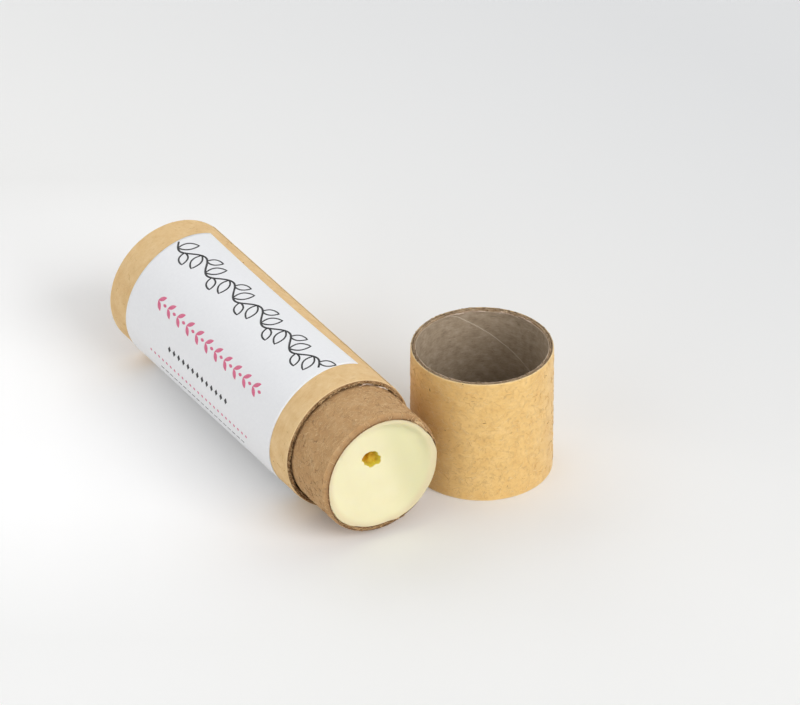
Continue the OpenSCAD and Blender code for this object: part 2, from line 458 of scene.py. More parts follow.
# %% Turn the outline in a geometry tree
winding, given = new_recipe("wound_paper_layer", {
    "Steps": "Int", "Shown radius": "Float", "Low end": "Float", "High end": "Float",
    "Ripple": "Float", "Ripple size": "Float", "End reach": "Float", "Wander": "Float", "Torn": "Float",
    "Sunk": "Float", "Seam angle": "Float", "Seam slope": "Float", "Seam width": "Float",
    "Groove": "Float", "Overlap": "Float", "Roll": "Float", "Roll middle": "Float", "Roll least": "Float",
    "Crush": "Float", "Seed": "Float"})
outline_points = add(winding, "GeometryNodeAttributeDomainSize", {"Geometry": given["Geometry"]},
                     output="Point Count")
columns = add(winding, "ShaderNodeMath", {0: given["Steps"], 1: 1.0}, operation="ADD")
sheet = add(winding, "GeometryNodeMeshGrid", {"Vertices X": columns, "Vertices Y": outline_points})
number = add(winding, "GeometryNodeInputIndex")
half_on = add(winding, "ShaderNodeMath", {0: number, 1: 0.5}, operation="ADD")
column = add(winding, "ShaderNodeMath", {0: half_on, 1: outline_points}, operation="DIVIDE")
column = add(winding, "ShaderNodeMath", {0: column}, operation="FLOOR")
before = add(winding, "ShaderNodeMath", {0: column, 1: outline_points}, operation="MULTIPLY")
row = add(winding, "ShaderNodeMath", {0: number, 1: before}, operation="SUBTRACT")
turn = add(winding, "ShaderNodeMath", {0: column, 1: given["Steps"]}, operation="DIVIDE")
angle = add(winding, "ShaderNodeMath", {0: turn, 1: 2 * math.pi}, operation="MULTIPLY")
own_place = add(winding, "GeometryNodeInputPosition")
copied = add(winding, "GeometryNodeSampleIndex", {
    "Geometry": given["Geometry"], "Value": own_place, "Index": row}, data_type="FLOAT_VECTOR")
radius = add(winding, "ShaderNodeSeparateXYZ", {0: copied}, output="X")
along = add(winding, "ShaderNodeSeparateXYZ", {0: copied}, output="Z")
run_so_far = add(winding, "GeometryNodeInputNamedAttribute", {"Name": "run"})
run_here = add(winding, "GeometryNodeSampleIndex", {
    "Geometry": given["Geometry"], "Value": run_so_far, "Index": row}, data_type="FLOAT")
print("the tree counts and turns with", len(winding.nodes), "nodes")

# %% [markdown]
# The second part moves the radius. The shown wall ripples by a hundredth of a millimetre, more across
# the length than along it. A seam is a place at a fixed angle, or one that climbs as it goes round: it
# can be a groove, where two edges of the strip meet, or a step, where one edge laps over the other.

# %% Add ripples and seams to the tree
SEAM_WAVER = 0.03
LAP_RISE_WIDTHS, LAP_FALL_WIDTHS = 0.6, 16.0
ON_WALL = 0.03 * MM

squeezed = add(winding, "ShaderNodeMath", {0: along, 1: 0.5}, operation="MULTIPLY")
ripple_place = about_axis(winding, angle, radius, squeezed)
per_ripple = add(winding, "ShaderNodeMath", {0: 1.0, 1: given["Ripple size"]}, operation="DIVIDE")
ripple = add(winding, "ShaderNodeTexNoise", {
    "Vector": ripple_place, "W": given["Seed"], "Scale": per_ripple, "Detail": 2.5}, noise_dimensions="4D")
ripple = add(winding, "ShaderNodeMapRange", {"Value": ripple, "To Min": -2.0, "To Max": 2.0})
shift = add(winding, "ShaderNodeMath", {0: ripple, 1: given["Ripple"]}, operation="MULTIPLY")

climb = add(winding, "ShaderNodeMath", {0: along, 1: given["Seam slope"], 2: given["Seam angle"]},
            operation="MULTIPLY_ADD")
waver = add(winding, "ShaderNodeTexNoise", {
    "W": along, "Scale": 0.5 / MM, "Detail": 2.0}, noise_dimensions="1D")
waver = add(winding, "ShaderNodeMath", {0: waver, 1: SEAM_WAVER, 2: climb}, operation="MULTIPLY_ADD")
past_seam = add(winding, "ShaderNodeMath", {0: angle, 1: waver}, operation="SUBTRACT")
past_seam = add(winding, "ShaderNodeMath", {0: past_seam, 1: math.pi, 2: -math.pi}, operation="WRAP")
past_seam = add(winding, "ShaderNodeMath", {0: past_seam, 1: radius}, operation="MULTIPLY")
in_widths = add(winding, "ShaderNodeMath", {0: past_seam, 1: given["Seam width"]}, operation="DIVIDE")
squared = add(winding, "ShaderNodeMath", {0: in_widths, 1: in_widths}, operation="MULTIPLY")
fading = add(winding, "ShaderNodeMath", {0: squared, 1: -1.0}, operation="MULTIPLY")
seam = add(winding, "ShaderNodeMath", {0: fading}, operation="EXPONENT")
shift = add(winding, "ShaderNodeMath", {0: seam, 1: given["Groove"], 2: shift}, operation="MULTIPLY_ADD")
lapped = add(winding, "ShaderNodeMapRange", {"Value": in_widths, "From Max": LAP_RISE_WIDTHS})
slope_off = add(winding, "ShaderNodeMapRange", {
    "Value": in_widths, "From Max": LAP_FALL_WIDTHS, "To Min": 1.0, "To Max": 0.0})
lap = add(winding, "ShaderNodeMath", {0: lapped, 1: slope_off}, operation="MULTIPLY")
shift = add(winding, "ShaderNodeMath", {0: lap, 1: given["Overlap"], 2: shift}, operation="MULTIPLY_ADD")
off_wall = add(winding, "ShaderNodeMath", {0: radius, 1: given["Shown radius"]}, operation="SUBTRACT")
off_wall = add(winding, "ShaderNodeMath", {0: off_wall}, operation="ABSOLUTE")
on_wall = add(winding, "ShaderNodeMath", {0: off_wall, 1: ON_WALL}, operation="LESS_THAN")
moved = add(winding, "ShaderNodeMath", {0: shift, 1: on_wall, 2: radius}, operation="MULTIPLY_ADD")
moved = out_of_round(winding, angle, moved)
print("with its wall, the tree has", len(winding.nodes), "nodes")

# %% [markdown]
# The third part moves the cut ends. Near each end, a slow noise makes the cut wander and a fine one
# tears it. A layer can also be sunk, because soft board draws back behind the paper that faces it.
# At the high end, where a cap slides over or a finger rubs, the paper can roll in over crushed board,
# all round or mostly on one side.

# %% Add the cut ends to the tree
KNIFE_WAVES = 7.0
TEAR_MM = 0.4
WORN_FROM, WORN_TO = -0.2, 0.62

push = None
for end, way in (("High end", 1.0), ("Low end", -1.0)):
    gap = add(winding, "ShaderNodeMath", {0: along, 1: given[end]}, operation="SUBTRACT")
    gap = add(winding, "ShaderNodeMath", {0: gap}, operation="ABSOLUTE")
    close = add(winding, "ShaderNodeMapRange", {
        "Value": gap, "From Max": given["End reach"], "To Min": way, "To Max": 0.0})
    push = close if push is None else add(winding, "ShaderNodeMath", {0: push, 1: close}, operation="ADD")
slow_place = about_axis(winding, angle, 1.0, push)
slow = add(winding, "ShaderNodeTexNoise", {
    "Vector": slow_place, "W": given["Seed"], "Scale": KNIFE_WAVES, "Detail": 3.0}, noise_dimensions="4D")
slow = add(winding, "ShaderNodeMapRange", {
    "Value": slow, "From Min": 0.25, "From Max": 0.75, "To Min": -1.0, "To Max": 0.0})
fine = add(winding, "ShaderNodeTexNoise", {
    "Vector": ripple_place, "W": given["Seed"], "Scale": 1 / (TEAR_MM * MM), "Detail": 2.0},
    noise_dimensions="4D")
fine = add(winding, "ShaderNodeMapRange", {
    "Value": fine, "From Min": 0.3, "From Max": 0.7, "To Min": -1.0, "To Max": 0.15})
cut = add(winding, "ShaderNodeMath", {0: slow, 1: given["Wander"]}, operation="MULTIPLY")
cut = add(winding, "ShaderNodeMath", {0: fine, 1: given["Torn"], 2: cut}, operation="MULTIPLY_ADD")
cut = add(winding, "ShaderNodeMath", {0: cut, 1: given["Sunk"]}, operation="SUBTRACT")
along_moved = add(winding, "ShaderNodeMath", {0: cut, 1: push, 2: along}, operation="MULTIPLY_ADD")

facing = add(winding, "ShaderNodeMath", {0: angle, 1: given["Roll middle"]}, operation="SUBTRACT")
facing = add(winding, "ShaderNodeMath", {0: facing}, operation="COSINE")
worn = add(winding, "ShaderNodeMapRange", {
    "Value": facing, "From Min": WORN_FROM, "From Max": WORN_TO, "To Min": given["Roll least"]})
near_top = add(winding, "ShaderNodeMath", {0: push, 1: 0.0}, operation="MAXIMUM")
worn = add(winding, "ShaderNodeMath", {0: worn, 1: near_top}, operation="MULTIPLY")
crushed = add(winding, "ShaderNodeMath", {0: worn, 1: given["Crush"]}, operation="MULTIPLY")
along_moved = add(winding, "ShaderNodeMath", {0: along_moved, 1: crushed}, operation="SUBTRACT")
rolled = add(winding, "ShaderNodeMath", {0: worn, 1: near_top}, operation="MULTIPLY")
rolled = add(winding, "ShaderNodeMath", {0: rolled, 1: given["Roll"]}, operation="MULTIPLY")
moved = add(winding, "ShaderNodeMath", {0: moved, 1: rolled}, operation="SUBTRACT")
print("with its cut ends, the tree has", len(winding.nodes), "nodes")

# %% [markdown]
# Last, every point is placed, and the first and last column and row are merged, so the wall is
# closed. The UV map is stored on the corners, so it can start again at the merged line. Two more
# attributes say how near a point is to the seam and to a cut, for the paper's own tones there.

# %% Place the points and store the map
placed = about_axis(winding, angle, moved, along_moved)
round_run = add(winding, "ShaderNodeMath", {0: angle, 1: given["Shown radius"]}, operation="MULTIPLY")
flat_place = add(winding, "ShaderNodeCombineXYZ", {"X": round_run, "Y": run_here, "Z": 0.0})
flat_place = add(winding, "GeometryNodeFieldOnDomain", {"Value": flat_place}, data_type="FLOAT_VECTOR")
wall = add(winding, "GeometryNodeStoreNamedAttribute", {
    "Geometry": sheet, "Name": "paper", "Value": flat_place}, data_type="FLOAT2", domain="CORNER")
wall = add(winding, "GeometryNodeStoreNamedAttribute", {"Geometry": wall, "Name": "seam", "Value": seam})
near_cut = add(winding, "ShaderNodeMath", {0: push}, operation="ABSOLUTE")
wall = add(winding, "GeometryNodeStoreNamedAttribute", {"Geometry": wall, "Name": "cut", "Value": near_cut})
wall = add(winding, "GeometryNodeSetPosition", {"Geometry": wall, "Position": placed})
wall = add(winding, "GeometryNodeMergeByDistance", {"Geometry": wall, "Distance": 0.001 * MM})
end_recipe(winding, wall, given["Surface"])
print("the whole tree has", len(winding.nodes), "nodes")

# %% [markdown]
# A wall has a solid of the same name, which gives its radii. The wrap of a tube shows its outside and
# a lining its inside, so only the shown side gets many rows, and the recipe ripples only that side.
# Everything that a layer doesn't have, such as a seam or a roll, is nought unless it is named.

# %% Wind one layer
LOOK_ALIKE = {
    "Steps": 320, "Ripple": 0.0, "Ripple size": 1.5 * MM, "End reach": 0.5 * MM, "Wander": 0.05 * MM,
    "Torn": 0.0, "Sunk": 0.0, "Seam angle": 0.0, "Seam slope": 0.0, "Seam width": 0.1 * MM, "Groove": 0.0,
    "Overlap": 0.0, "Roll": 0.0, "Roll middle": 0.0, "Roll least": 1.0, "Crush": 0.0, "Seed": 0.0}
RIPPLED = {"Ripple": 0.012 * MM}
CUT_BOARD = {"Steps": 560, "Torn": 0.10 * MM, "End reach": 0.9 * MM}


def wind(node, low, high, surface, body, slot, corner=0.05 * MM, rows_out=2, rows_in=2, **sizes):
    """Winds one layer of a tube in the place of the solid of that name."""
    r_in, r_out = radii(node)
    shown = r_in if rows_in > rows_out else r_out
    values = {**LOOK_ALIKE, "Shown radius": shown, "Low end": low, "High end": high, "Surface": surface}
    values.update({label.replace("_", " "): value for label, value in sizes.items()})
    outline = outline_mesh(node + "_outline", wall_outline(r_out, r_in, low, high, corner, rows_out, rows_in))
    mesh = run_recipe(node + "_paper", winding, values, outline)
    mesh.transform(ON_CAP if node.startswith("cap_") else ON_TUBE)
    return dress(finished_mesh(node + "_paper", mesh), surface, body, slot, node)


print("a wound layer has", len(LOOK_ALIKE), "sizes besides its radii and its ends")

# %% [markdown]
# Each layer of the outer tube runs through the recipe in its own place: tan wrap, two board plies and
# a lining. Only the wrap and the cut ends show, so the wrap gets many rows along its outside, and the
# board gets many steps round, where its torn fibres need them. The board sinks behind the wrap, most
# of all next to the neck, where the knife dragged it and a dark gap is left.

# %% Wind the outer tube

# Machine-glazed kraft is dried against a hot drum. It looks pale, even and soft, with faint hairs, and
# the overlap's edge has gathered a thin dark line.
kraft = paper("kraft_paper_machine_glazed", "#eacb9a", "#e4c28e", "#ddb782", "#9b6d3a", stretched=0.3,
              hairs=0.6, seam="#6f5236", cut="#f2dcb0", cut_face="#a98357")
# Grey board is recycled pulp, here cut across. Torn bundles of fibre make it uneven, brown and dull.
board = paper("grey_board_cut_edge", "#bb986c", "#95734f", "#644629", "#3a2716", "Object", 0.2, 0.6, 0.9,
              2.6, 0.95)
# Kraft that has drunk oil from the balm turns darker and a little glossy, and its fibres fade.
stained = paper("kraft_paper_oil_stained", "#a5825a", "#86643f", "#68492c", "#3f2a19", "Object", 0.3, 0.5,
                0.7, 1.6, 0.6)

wind("tube_wrap", BASE, SHOULDER, kraft, "tube", "kraft_wrap", rows_out=120, **RIPPLED, Seed=1.3, Steps=520,
     Seam_angle=math.radians(43.5), Seam_width=0.15 * MM, Overlap=0.06 * MM, Groove=-0.03 * MM,
     Wander=0.03 * MM, Roll=0.08 * MM)
wind("tube_outer_ply", BASE, SHOULDER, board, "tube", "grey_board", **CUT_BOARD, Seed=2.1)
wind("tube_inner_ply", BASE, SHOULDER, board, "tube", "grey_board", **CUT_BOARD, Sunk=0.05 * MM, Seed=3.7)
wind("tube_lining", BASE, SHOULDER, stained, "tube", "grey_board", **CUT_BOARD, Sunk=0.26 * MM, Seed=4.9)
print(f"outer tube {(SHOULDER - BASE) / MM:.1f} mm long")

# %% [markdown]
# The inner tube is glued in over the whole length and stands out as the neck. Its wrap is a browner,
# rougher kraft that rubs on the cap, so its fibres are raised. Its rim is worn round: on the upper side
# the wrap rolls in over crushed board, almost to the balm. The rim's board and the lining have drunk
# oil from the balm, which makes paper darker and a little glossy.

# %% Wind the neck
NECK_ROLL, NECK_ROLL_REACH = 0.74 * MM, 0.8 * MM
WORN_SIDE = {"Roll_middle": math.radians(-35), "Roll_least": 0.3}

# Unglazed brown kraft is coarse pulp. Rubbing has raised pale hairs on it, and the cut edge is dark. Within
# 0.6 mm of both ends, over the worn tip that rolls up into the light and beside the shoulder, a darker tone
# is painted in as shade.
neck_kraft = paper("kraft_paper_brown_unglazed", "#cca87c", "#bf9768", "#b48c60", "#5d3d22", stretched=0.35,
                   hairs=1.3, depth=0.9, hair_shade="#dfc094", cut="#94704c", cut_from=0.25,
                   cut_face="#553a24")

wind("neck_wrap", SHOULDER, NECK_TIP, neck_kraft, "tube", "neck_kraft", rows_out=100, Ripple=0.018 * MM,
     Ripple_size=1.1 * MM, Seed=6.2, Wander=0.06 * MM, End_reach=NECK_ROLL_REACH, Roll=NECK_ROLL, **WORN_SIDE)
wind("neck_outer_ply", BASE, NECK_TIP, board, "tube", "grey_board", **CUT_BOARD, Sunk=0.05 * MM, Seed=7.5,
     Crush=0.45 * MM, **WORN_SIDE)
wind("neck_inner_ply", BASE, NECK_TIP, stained, "tube", "grey_board", **CUT_BOARD, Sunk=0.07 * MM, Seed=8.8,
     Crush=0.30 * MM, **WORN_SIDE)
wind("neck_lining", BASE, NECK_TIP, stained, "tube", "neck_kraft", rows_in=90, **RIPPLED, Torn=0.06 * MM,
     Seed=9.4, Crush=-0.16 * MM, **WORN_SIDE)
print(f"the neck stands {NECK_OUT / MM:.1f} mm out")

# %% [markdown]
# The cap is a short length of the outer tube's stock. Its wrap has one straight overlap from rim to
# foot, on the side that faces the camera. Inside, the lining is the strip that was wound on the
# mandrel first: its edges meet in one helix that climbs 44.2 mm in a turn, and where they were slit
# the pulp shows pale. So the lining has a real groove there, and the tree's own measure of how near a
# point is to the seam lets the material mix the pale pulp in. On the far side, the knife has peeled
# the lining down by a third of a millimetre and laid the board bare.

# %% Wind the cap
SEAM_CLIMB = 44.2 * MM
SEAM_START = math.radians(172.3) - 2 * math.pi * 20.7 * MM / SEAM_CLIMB
LINING_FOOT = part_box("cap_lining")[0].z
PEELED_MIDDLE = math.radians(150)
CAP_FOOT_CORNER = 0.06 * MM

# The same kraft as the tube's. Fingers have rubbed it, so its hairs stand out, and a trace of grease gives it
# a soft sheen. It is more golden than the tube's: partly its own tone, partly painted warm bounce light for
# its shaded side.
cap_kraft = paper("kraft_paper_bounce_tinted", "#e6c07d", "#deb670", "#d7ab65", "#8f602b", stretched=0.3,
                  hairs=1.0, depth=1.3, roughness=0.55, gloss=0.5, sheen=0.16, cut="#f0d6a2", cut_from=0.5,
                  cut_face="#a18867")
# Board that was trimmed with a sharp knife is greyer and closer than torn board.
cap_board = paper("grey_board_trimmed", "#a98f70", "#80684c", "#543f2b", "#3b291b", "Object", 0.2, 0.6, 0.9,
                  2.2, 0.95)
# Board laid bare where the lining was peeled off it is pale and woolly.
torn_board = paper("grey_board_peeled", "#bea88d", "#a58b6d", "#80684d", "#4a3828", "Object", 0.3, 0.8, 0.7,
                   2.0, 0.9)
# Grey kraft from waste paper is thin and dull, with small clouds, and its slit edge is nearly white.
cap_lining = paper("grey_kraft_lining", "#b2a18d", "#a2917b", "#8e7d69", "#65564a", stretched=0.4,
                   hairs=0.25, depth=1.3, clouds_mm=1.4, seam="#fbeedb", cut="#c4b09a", cut_from=0.9)

wind("cap_wrap", 0, CAP_TOP, cap_kraft, "cap", "kraft_wrap", CAP_FOOT_CORNER, rows_out=110, **RIPPLED,
     Seed=11.2, Steps=480, Seam_angle=math.radians(-28.5), Seam_width=0.14 * MM, Overlap=0.03 * MM,
     Roll=0.1 * MM)
wind("cap_outer_ply", 0, CAP_TOP, cap_board, "cap", "grey_board", **CUT_BOARD, Sunk=0.03 * MM, Seed=12.6)
wind("cap_inner_ply", 0, CAP_TOP, torn_board, "cap", "grey_board", **CUT_BOARD, Seed=13.1)
wind("cap_lining", LINING_FOOT, CAP_TOP, cap_lining, "cap", "cap_lining_paper", rows_in=130, **RIPPLED,
     Steps=600, Torn=0.08 * MM, Wander=0.12 * MM, End_reach=0.9 * MM, Crush=0.3 * MM,
     Roll_middle=PEELED_MIDDLE, Roll_least=0.0, Seed=14.4, Seam_angle=SEAM_START,
     Seam_slope=2 * math.pi / SEAM_CLIMB, Seam_width=0.11 * MM, Groove=0.04 * MM)
print("the lining's seam climbs", round(SEAM_CLIMB / MM, 1), "mm a turn")

# %% [markdown]
# Loose fibres are what makes rough paper look rough. On the walls they lie in the surface as curled
# hairs, and on the cut rims the knife has pulled them out as fibres and shreds. Particle hair could
# grow them, but it can't lie in a curved wall. One geometry tree makes all of them. Its first part
# strews points over a flat strip, and gives each of them its own tone.

# %% Strew points over a strip in a tree
strewing, given = new_recipe("paper_fibres", {
    "Count": "Int", "Radius": "Float", "Depth": "Float", "Low": "Float", "High": "Float",
    "Arc middle": "Float", "Arc half": "Float", "Length": "Float", "Thickness": "Float",
    "Curl": "Float", "Turn": "Float", "Lift": "Float", "Seed": "Int"})
least_arc, most_arc = [
    add(strewing, "ShaderNodeMath", {0: given["Arc middle"], 1: given["Arc half"]}, operation=way)
    for way in ("SUBTRACT", "ADD")]
spot_along = add(strewing, "FunctionNodeRandomValue", {
    "Min": given["Low"], "Max": given["High"], "Seed": given["Seed"]}, data_type="FLOAT")
arc_seed = add(strewing, "ShaderNodeMath", {0: given["Seed"], 1: 100.0}, operation="ADD")
spot_arc = add(strewing, "FunctionNodeRandomValue", {
    "Min": least_arc, "Max": most_arc, "Seed": arc_seed}, data_type="FLOAT")
spot_round = add(strewing, "ShaderNodeMath", {0: spot_arc, 1: given["Radius"]}, operation="MULTIPLY")
depth_seed = add(strewing, "ShaderNodeMath", {0: given["Seed"], 1: 200.0}, operation="ADD")
inwards = add(strewing, "ShaderNodeMath", {0: given["Depth"], 1: -1.0}, operation="MULTIPLY")
spot_depth = add(strewing, "FunctionNodeRandomValue", {
    "Min": inwards, "Max": 0.0, "Seed": depth_seed}, data_type="FLOAT")
spots = add(strewing, "ShaderNodeCombineXYZ", {"X": spot_along, "Y": spot_round, "Z": spot_depth})
strewn = add(strewing, "GeometryNodePoints", {"Count": given["Count"], "Position": spots})
tone = add(strewing, "FunctionNodeRandomValue", {"Min": 0.0, "Max": 1.0, "Seed": 7}, data_type="FLOAT")
strewn = add(strewing, "GeometryNodeStoreNamedAttribute", {"Geometry": strewn, "Name": "tone", "Value": tone})
print("the fibre recipe strews with", len(strewing.nodes), "nodes")

# %% [markdown]
# Then a short line is put on every point, turned and lifted by its own amount, all of them are bent
# with one noise and given a three-sided thickness, because hundreds of rounder ones would cost more
# than they show. Only then is the strip wrapped round the axis.

# %% Draw the fibres and wrap the strip
LINE_POINTS = 7
BEND_MM = 0.55
LEAST_SIZE, MOST_SIZE = 0.45, 1.35

half_way = add(strewing, "ShaderNodeMath", {0: given["Length"], 1: 0.5}, operation="MULTIPLY")
back_half = add(strewing, "ShaderNodeMath", {0: half_way, 1: -1.0}, operation="MULTIPLY")
line_start = add(strewing, "ShaderNodeCombineXYZ", {"Y": back_half})
line_end = add(strewing, "ShaderNodeCombineXYZ", {"Y": half_way})
line = add(strewing, "GeometryNodeCurvePrimitiveLine", {"Start": line_start, "End": line_end})
line = add(strewing, "GeometryNodeResampleCurve", {"Curve": line, "Count": LINE_POINTS})
turned_back = add(strewing, "ShaderNodeMath", {0: given["Turn"], 1: -1.0}, operation="MULTIPLY")
own_turn = add(strewing, "FunctionNodeRandomValue", {
    "Min": turned_back, "Max": given["Turn"], "Seed": 11}, data_type="FLOAT")
own_lift = add(strewing, "FunctionNodeRandomValue", {
    "Min": 0.0, "Max": given["Lift"], "Seed": 12}, data_type="FLOAT")
own_size = add(strewing, "FunctionNodeRandomValue", {
    "Min": LEAST_SIZE, "Max": MOST_SIZE, "Seed": 13}, data_type="FLOAT")
stance = add(strewing, "ShaderNodeCombineXYZ", {"X": own_lift, "Z": own_turn})
stance = add(strewing, "FunctionNodeEulerToRotation", {"Euler": stance})
fibres = add(strewing, "GeometryNodeInstanceOnPoints", {
    "Points": strewn, "Instance": line, "Rotation": stance, "Scale": own_size})
fibres = add(strewing, "GeometryNodeRealizeInstances", {"Geometry": fibres})

flat_spot = add(strewing, "GeometryNodeInputPosition")
bend = add(strewing, "ShaderNodeTexNoise", {
    "Vector": flat_spot, "Scale": 1 / (BEND_MM * MM), "Detail": 1.0}, output="Color")
bend = add(strewing, "ShaderNodeVectorMath", {0: bend, 1: (0.5, 0.5, 0.5)}, operation="SUBTRACT")
flatter = add(strewing, "ShaderNodeCombineXYZ", {"X": 1.0, "Y": 1.0, "Z": given["Lift"]})
bend = add(strewing, "ShaderNodeVectorMath", {0: bend, 1: flatter}, operation="MULTIPLY")
bend = add(strewing, "ShaderNodeVectorMath", {0: bend, "Scale": given["Curl"]}, operation="SCALE")
fibres = add(strewing, "GeometryNodeSetPosition", {"Geometry": fibres, "Offset": bend})
section = add(strewing, "GeometryNodeCurvePrimitiveCircle", {"Resolution": 3, "Radius": given["Thickness"]})
fibres = add(strewing, "GeometryNodeCurveToMesh", {
    "Curve": fibres, "Profile Curve": section, "Fill Caps": True})

flat_spot = add(strewing, "GeometryNodeInputPosition")
flat_along = add(strewing, "ShaderNodeSeparateXYZ", {0: flat_spot}, output="X")
flat_round = add(strewing, "ShaderNodeSeparateXYZ", {0: flat_spot}, output="Y")
flat_depth = add(strewing, "ShaderNodeSeparateXYZ", {0: flat_spot}, output="Z")
angle = add(strewing, "ShaderNodeMath", {0: flat_round, 1: given["Radius"]}, operation="DIVIDE")
radius = add(strewing, "ShaderNodeMath", {0: flat_depth, 1: given["Radius"]}, operation="ADD")
wrapped = about_axis(strewing, angle, radius, flat_along)
fibres = add(strewing, "GeometryNodeSetPosition", {"Geometry": fibres, "Position": wrapped})
end_recipe(strewing, fibres, given["Surface"])
print("the fibre recipe has", len(strewing.nodes), "nodes")

# %% [markdown]
# A fibre is pale or dark by chance, so its tone is a random number that each point was given before
# its line was put on it, and the material turns that number into a colour. One material for each
# fibre would need hundreds of them.

# %% Make the fibres' materials


def fibre_surface(name, dark, middle, pale, dark_share):
    """Bare fibre, dull and without a pattern of its own: each one has the tone that it was given."""
    made, tree, shader = new_surface(name)
    given_tone = add(tree, "ShaderNodeAttribute", output="Fac", attribute_name="tone")
    colour = add(tree, "ShaderNodeValToRGB", {"Fac": given_tone})
    stops = colour.node.color_ramp.elements
    stops.new(0.5)
    for stop, position, shade in zip(stops, (0.0, dark_share, 1.0), (dark, middle, pale)):
        stop.position = position
        stop.color = linear(shade)
    tree.links.new(colour, shader.inputs["Base Color"])
    shader.inputs["Roughness"].default_value = 0.8
    shader.inputs["Specular IOR Level"].default_value = 0.3
    return made


# Pulp fibres of the three papers: mostly paler than the sheet they lie in, so they catch the eye.
tan_fibre = fibre_surface("pulp_fibre_tan", "#c4965a", "#dfbd82", "#ecd2a0", 0.25)
brown_fibre = fibre_surface("pulp_fibre_brown", "#8e6a46", "#c9a170", "#e2c496", 0.25)
grey_fibre = fibre_surface("pulp_fibre_grey", "#6f5c47", "#9c8569", "#bda98e", 0.4)
# Bark that the pulp mill didn't take out: small dark brown flecks.
bark = fibre_surface("bark_fleck", "#4c3018", "#6f4a28", "#8f6438", 0.5)
print("fibres:", tan_fibre.name, brown_fibre.name, grey_fibre.name, bark.name)

# %% [markdown]
# Hairs lie in the wall of a wrap or a lining, turned every way, and only their backs stand out of it.
# Flecks of bark are the same lines, shorter, thicker and darker. Both could be left to the bump, but
# at the outline and in raking light it is their real height that shows.

# %% Strew hairs and flecks over the walls
WALL_HAIRS = {"Depth": 0.02 * MM, "Arc middle": 0.0, "Arc half": math.pi, "Thickness": 0.035 * MM,
              "Curl": 1.0 * MM, "Turn": 1.4, "Lift": 0.0}
BARK = {**WALL_HAIRS, "Depth": 0.05 * MM, "Thickness": 0.05 * MM, "Curl": 0.3 * MM, "Length": 0.38 * MM}


def strew(name, count, r, low, high, surface, body, slot, on_axis, style, **sizes):
    """Strews fibres over a wall or a rim of radius r between two places along the axis."""
    values = {"Count": count, "Radius": r, "Low": low, "High": high, "Surface": surface, "Seed": 1, **style}
    values.update({label.replace("_", " "): value for label, value in sizes.items()})
    mesh = run_recipe(name, strewing, values)
    mesh.transform(on_axis)
    return dress(finished_mesh(name, mesh), surface, body, slot)


strew("cap_wrap_hairs", 1600, TUBE_R, 0.4 * MM, CAP_TOP - 0.4 * MM, tan_fibre, "cap", "kraft_wrap", ON_CAP,
      WALL_HAIRS, Length=0.8 * MM, Seed=3)
strew("tube_wrap_hairs", 1100, TUBE_R, BASE + 0.4 * MM, SHOULDER - 0.4 * MM, tan_fibre, "tube", "kraft_wrap",
      ON_TUBE, WALL_HAIRS, Length=0.7 * MM, Thickness=0.026 * MM, Seed=5)
neck_hairs = strew("neck_wrap_hairs", 1900, NECK_R, SHOULDER + 0.2 * MM, NECK_TIP - 0.12 * MM, brown_fibre,
                   "tube", "neck_kraft", ON_TUBE, WALL_HAIRS, Length=0.75 * MM, Seed=8)
strew("cap_lining_hairs", 260, radii("cap_lining")[0], CAP_TOP - 12 * MM, CAP_TOP - 0.5 * MM, grey_fibre,
      "cap", "cap_lining_paper", ON_CAP, WALL_HAIRS, Length=0.8 * MM, Thickness=0.02 * MM, Seed=9)
strew("tube_bark_flecks", 30, TUBE_R, BASE + 0.6 * MM, SHOULDER - 0.6 * MM, bark, "tube", "kraft_wrap",
      ON_TUBE, BARK, Seed=21)
strew("neck_bark_flecks", 14, NECK_R, SHOULDER + 0.6 * MM, NECK_TIP - 0.9 * MM, bark, "tube", "neck_kraft",
      ON_TUBE, BARK, Seed=22)
strew("cap_bark_flecks", 40, TUBE_R, 0.6 * MM, CAP_TOP - 0.6 * MM, bark, "cap", "kraft_wrap", ON_CAP, BARK,
      Seed=23)
print("hairs and flecks strewn")

# %% [markdown]
# The neck's wrap is rolled in at its worn tip, so what was strewn over it has to go down with it. The
# tree knows the rule only for its own wall, and a Shrinkwrap modifier would flatten the fibres on the
# paper. So the same rule is written once more, for a finished mesh. What would then reach into the
# bore is pressed against the bore's wall, because the piston's ring brushes it flat as it comes out.

# %% Roll fibres in with the neck's tip
PRESSED_SHARE = 0.03


def roll_in(piece):
    """Lays what was strewn over the neck down on its worn tip, by the rule of the wrap itself."""
    least = WORN_SIDE["Roll_least"]
    for v in piece.data.vertices:
        close = min(1.0, max(0.0, 1 - (NECK_TIP - v.co.x) / NECK_ROLL_REACH))
        out_y, out_z = v.co.y - TUBE_Y, v.co.z - TUBE_Z
        facing = math.cos(math.atan2(out_y, out_z) - WORN_SIDE["Roll_middle"])
        worn = least + (1 - least) * max(0.0, min(1.0, (facing - WORN_FROM) / (WORN_TO - WORN_FROM)))
        r = math.hypot(out_y, out_z)
        laid = r - NECK_ROLL * worn * close ** 2
        if laid < INNER_R:
            laid = INNER_R + PRESSED_SHARE * (laid - INNER_R)
        v.co.y = TUBE_Y + out_y * laid / r
        v.co.z = TUBE_Z + out_z * laid / r


roll_in(neck_hairs)
print("the neck's hairs are rolled in over", round(NECK_ROLL_REACH / MM, 2), "mm")

# %% [markdown]
# On a rim, short fibres stick out all round. Longer shreds of pale pulp hang where the knife went in
# or came out: at the back of the cap, where the lining is peeled, and on top of the shoulder. The
# neck's rim keeps a few brown strands on the side of the cap. A name says which kind a piece is.

# %% Fray the rims

# Pulp torn out by the knife has never been pressed or dyed, so it is nearly white.
shred = fibre_surface("pulp_shred_torn", "#b59c86", "#d9c3ad", "#eddccb", 0.35)

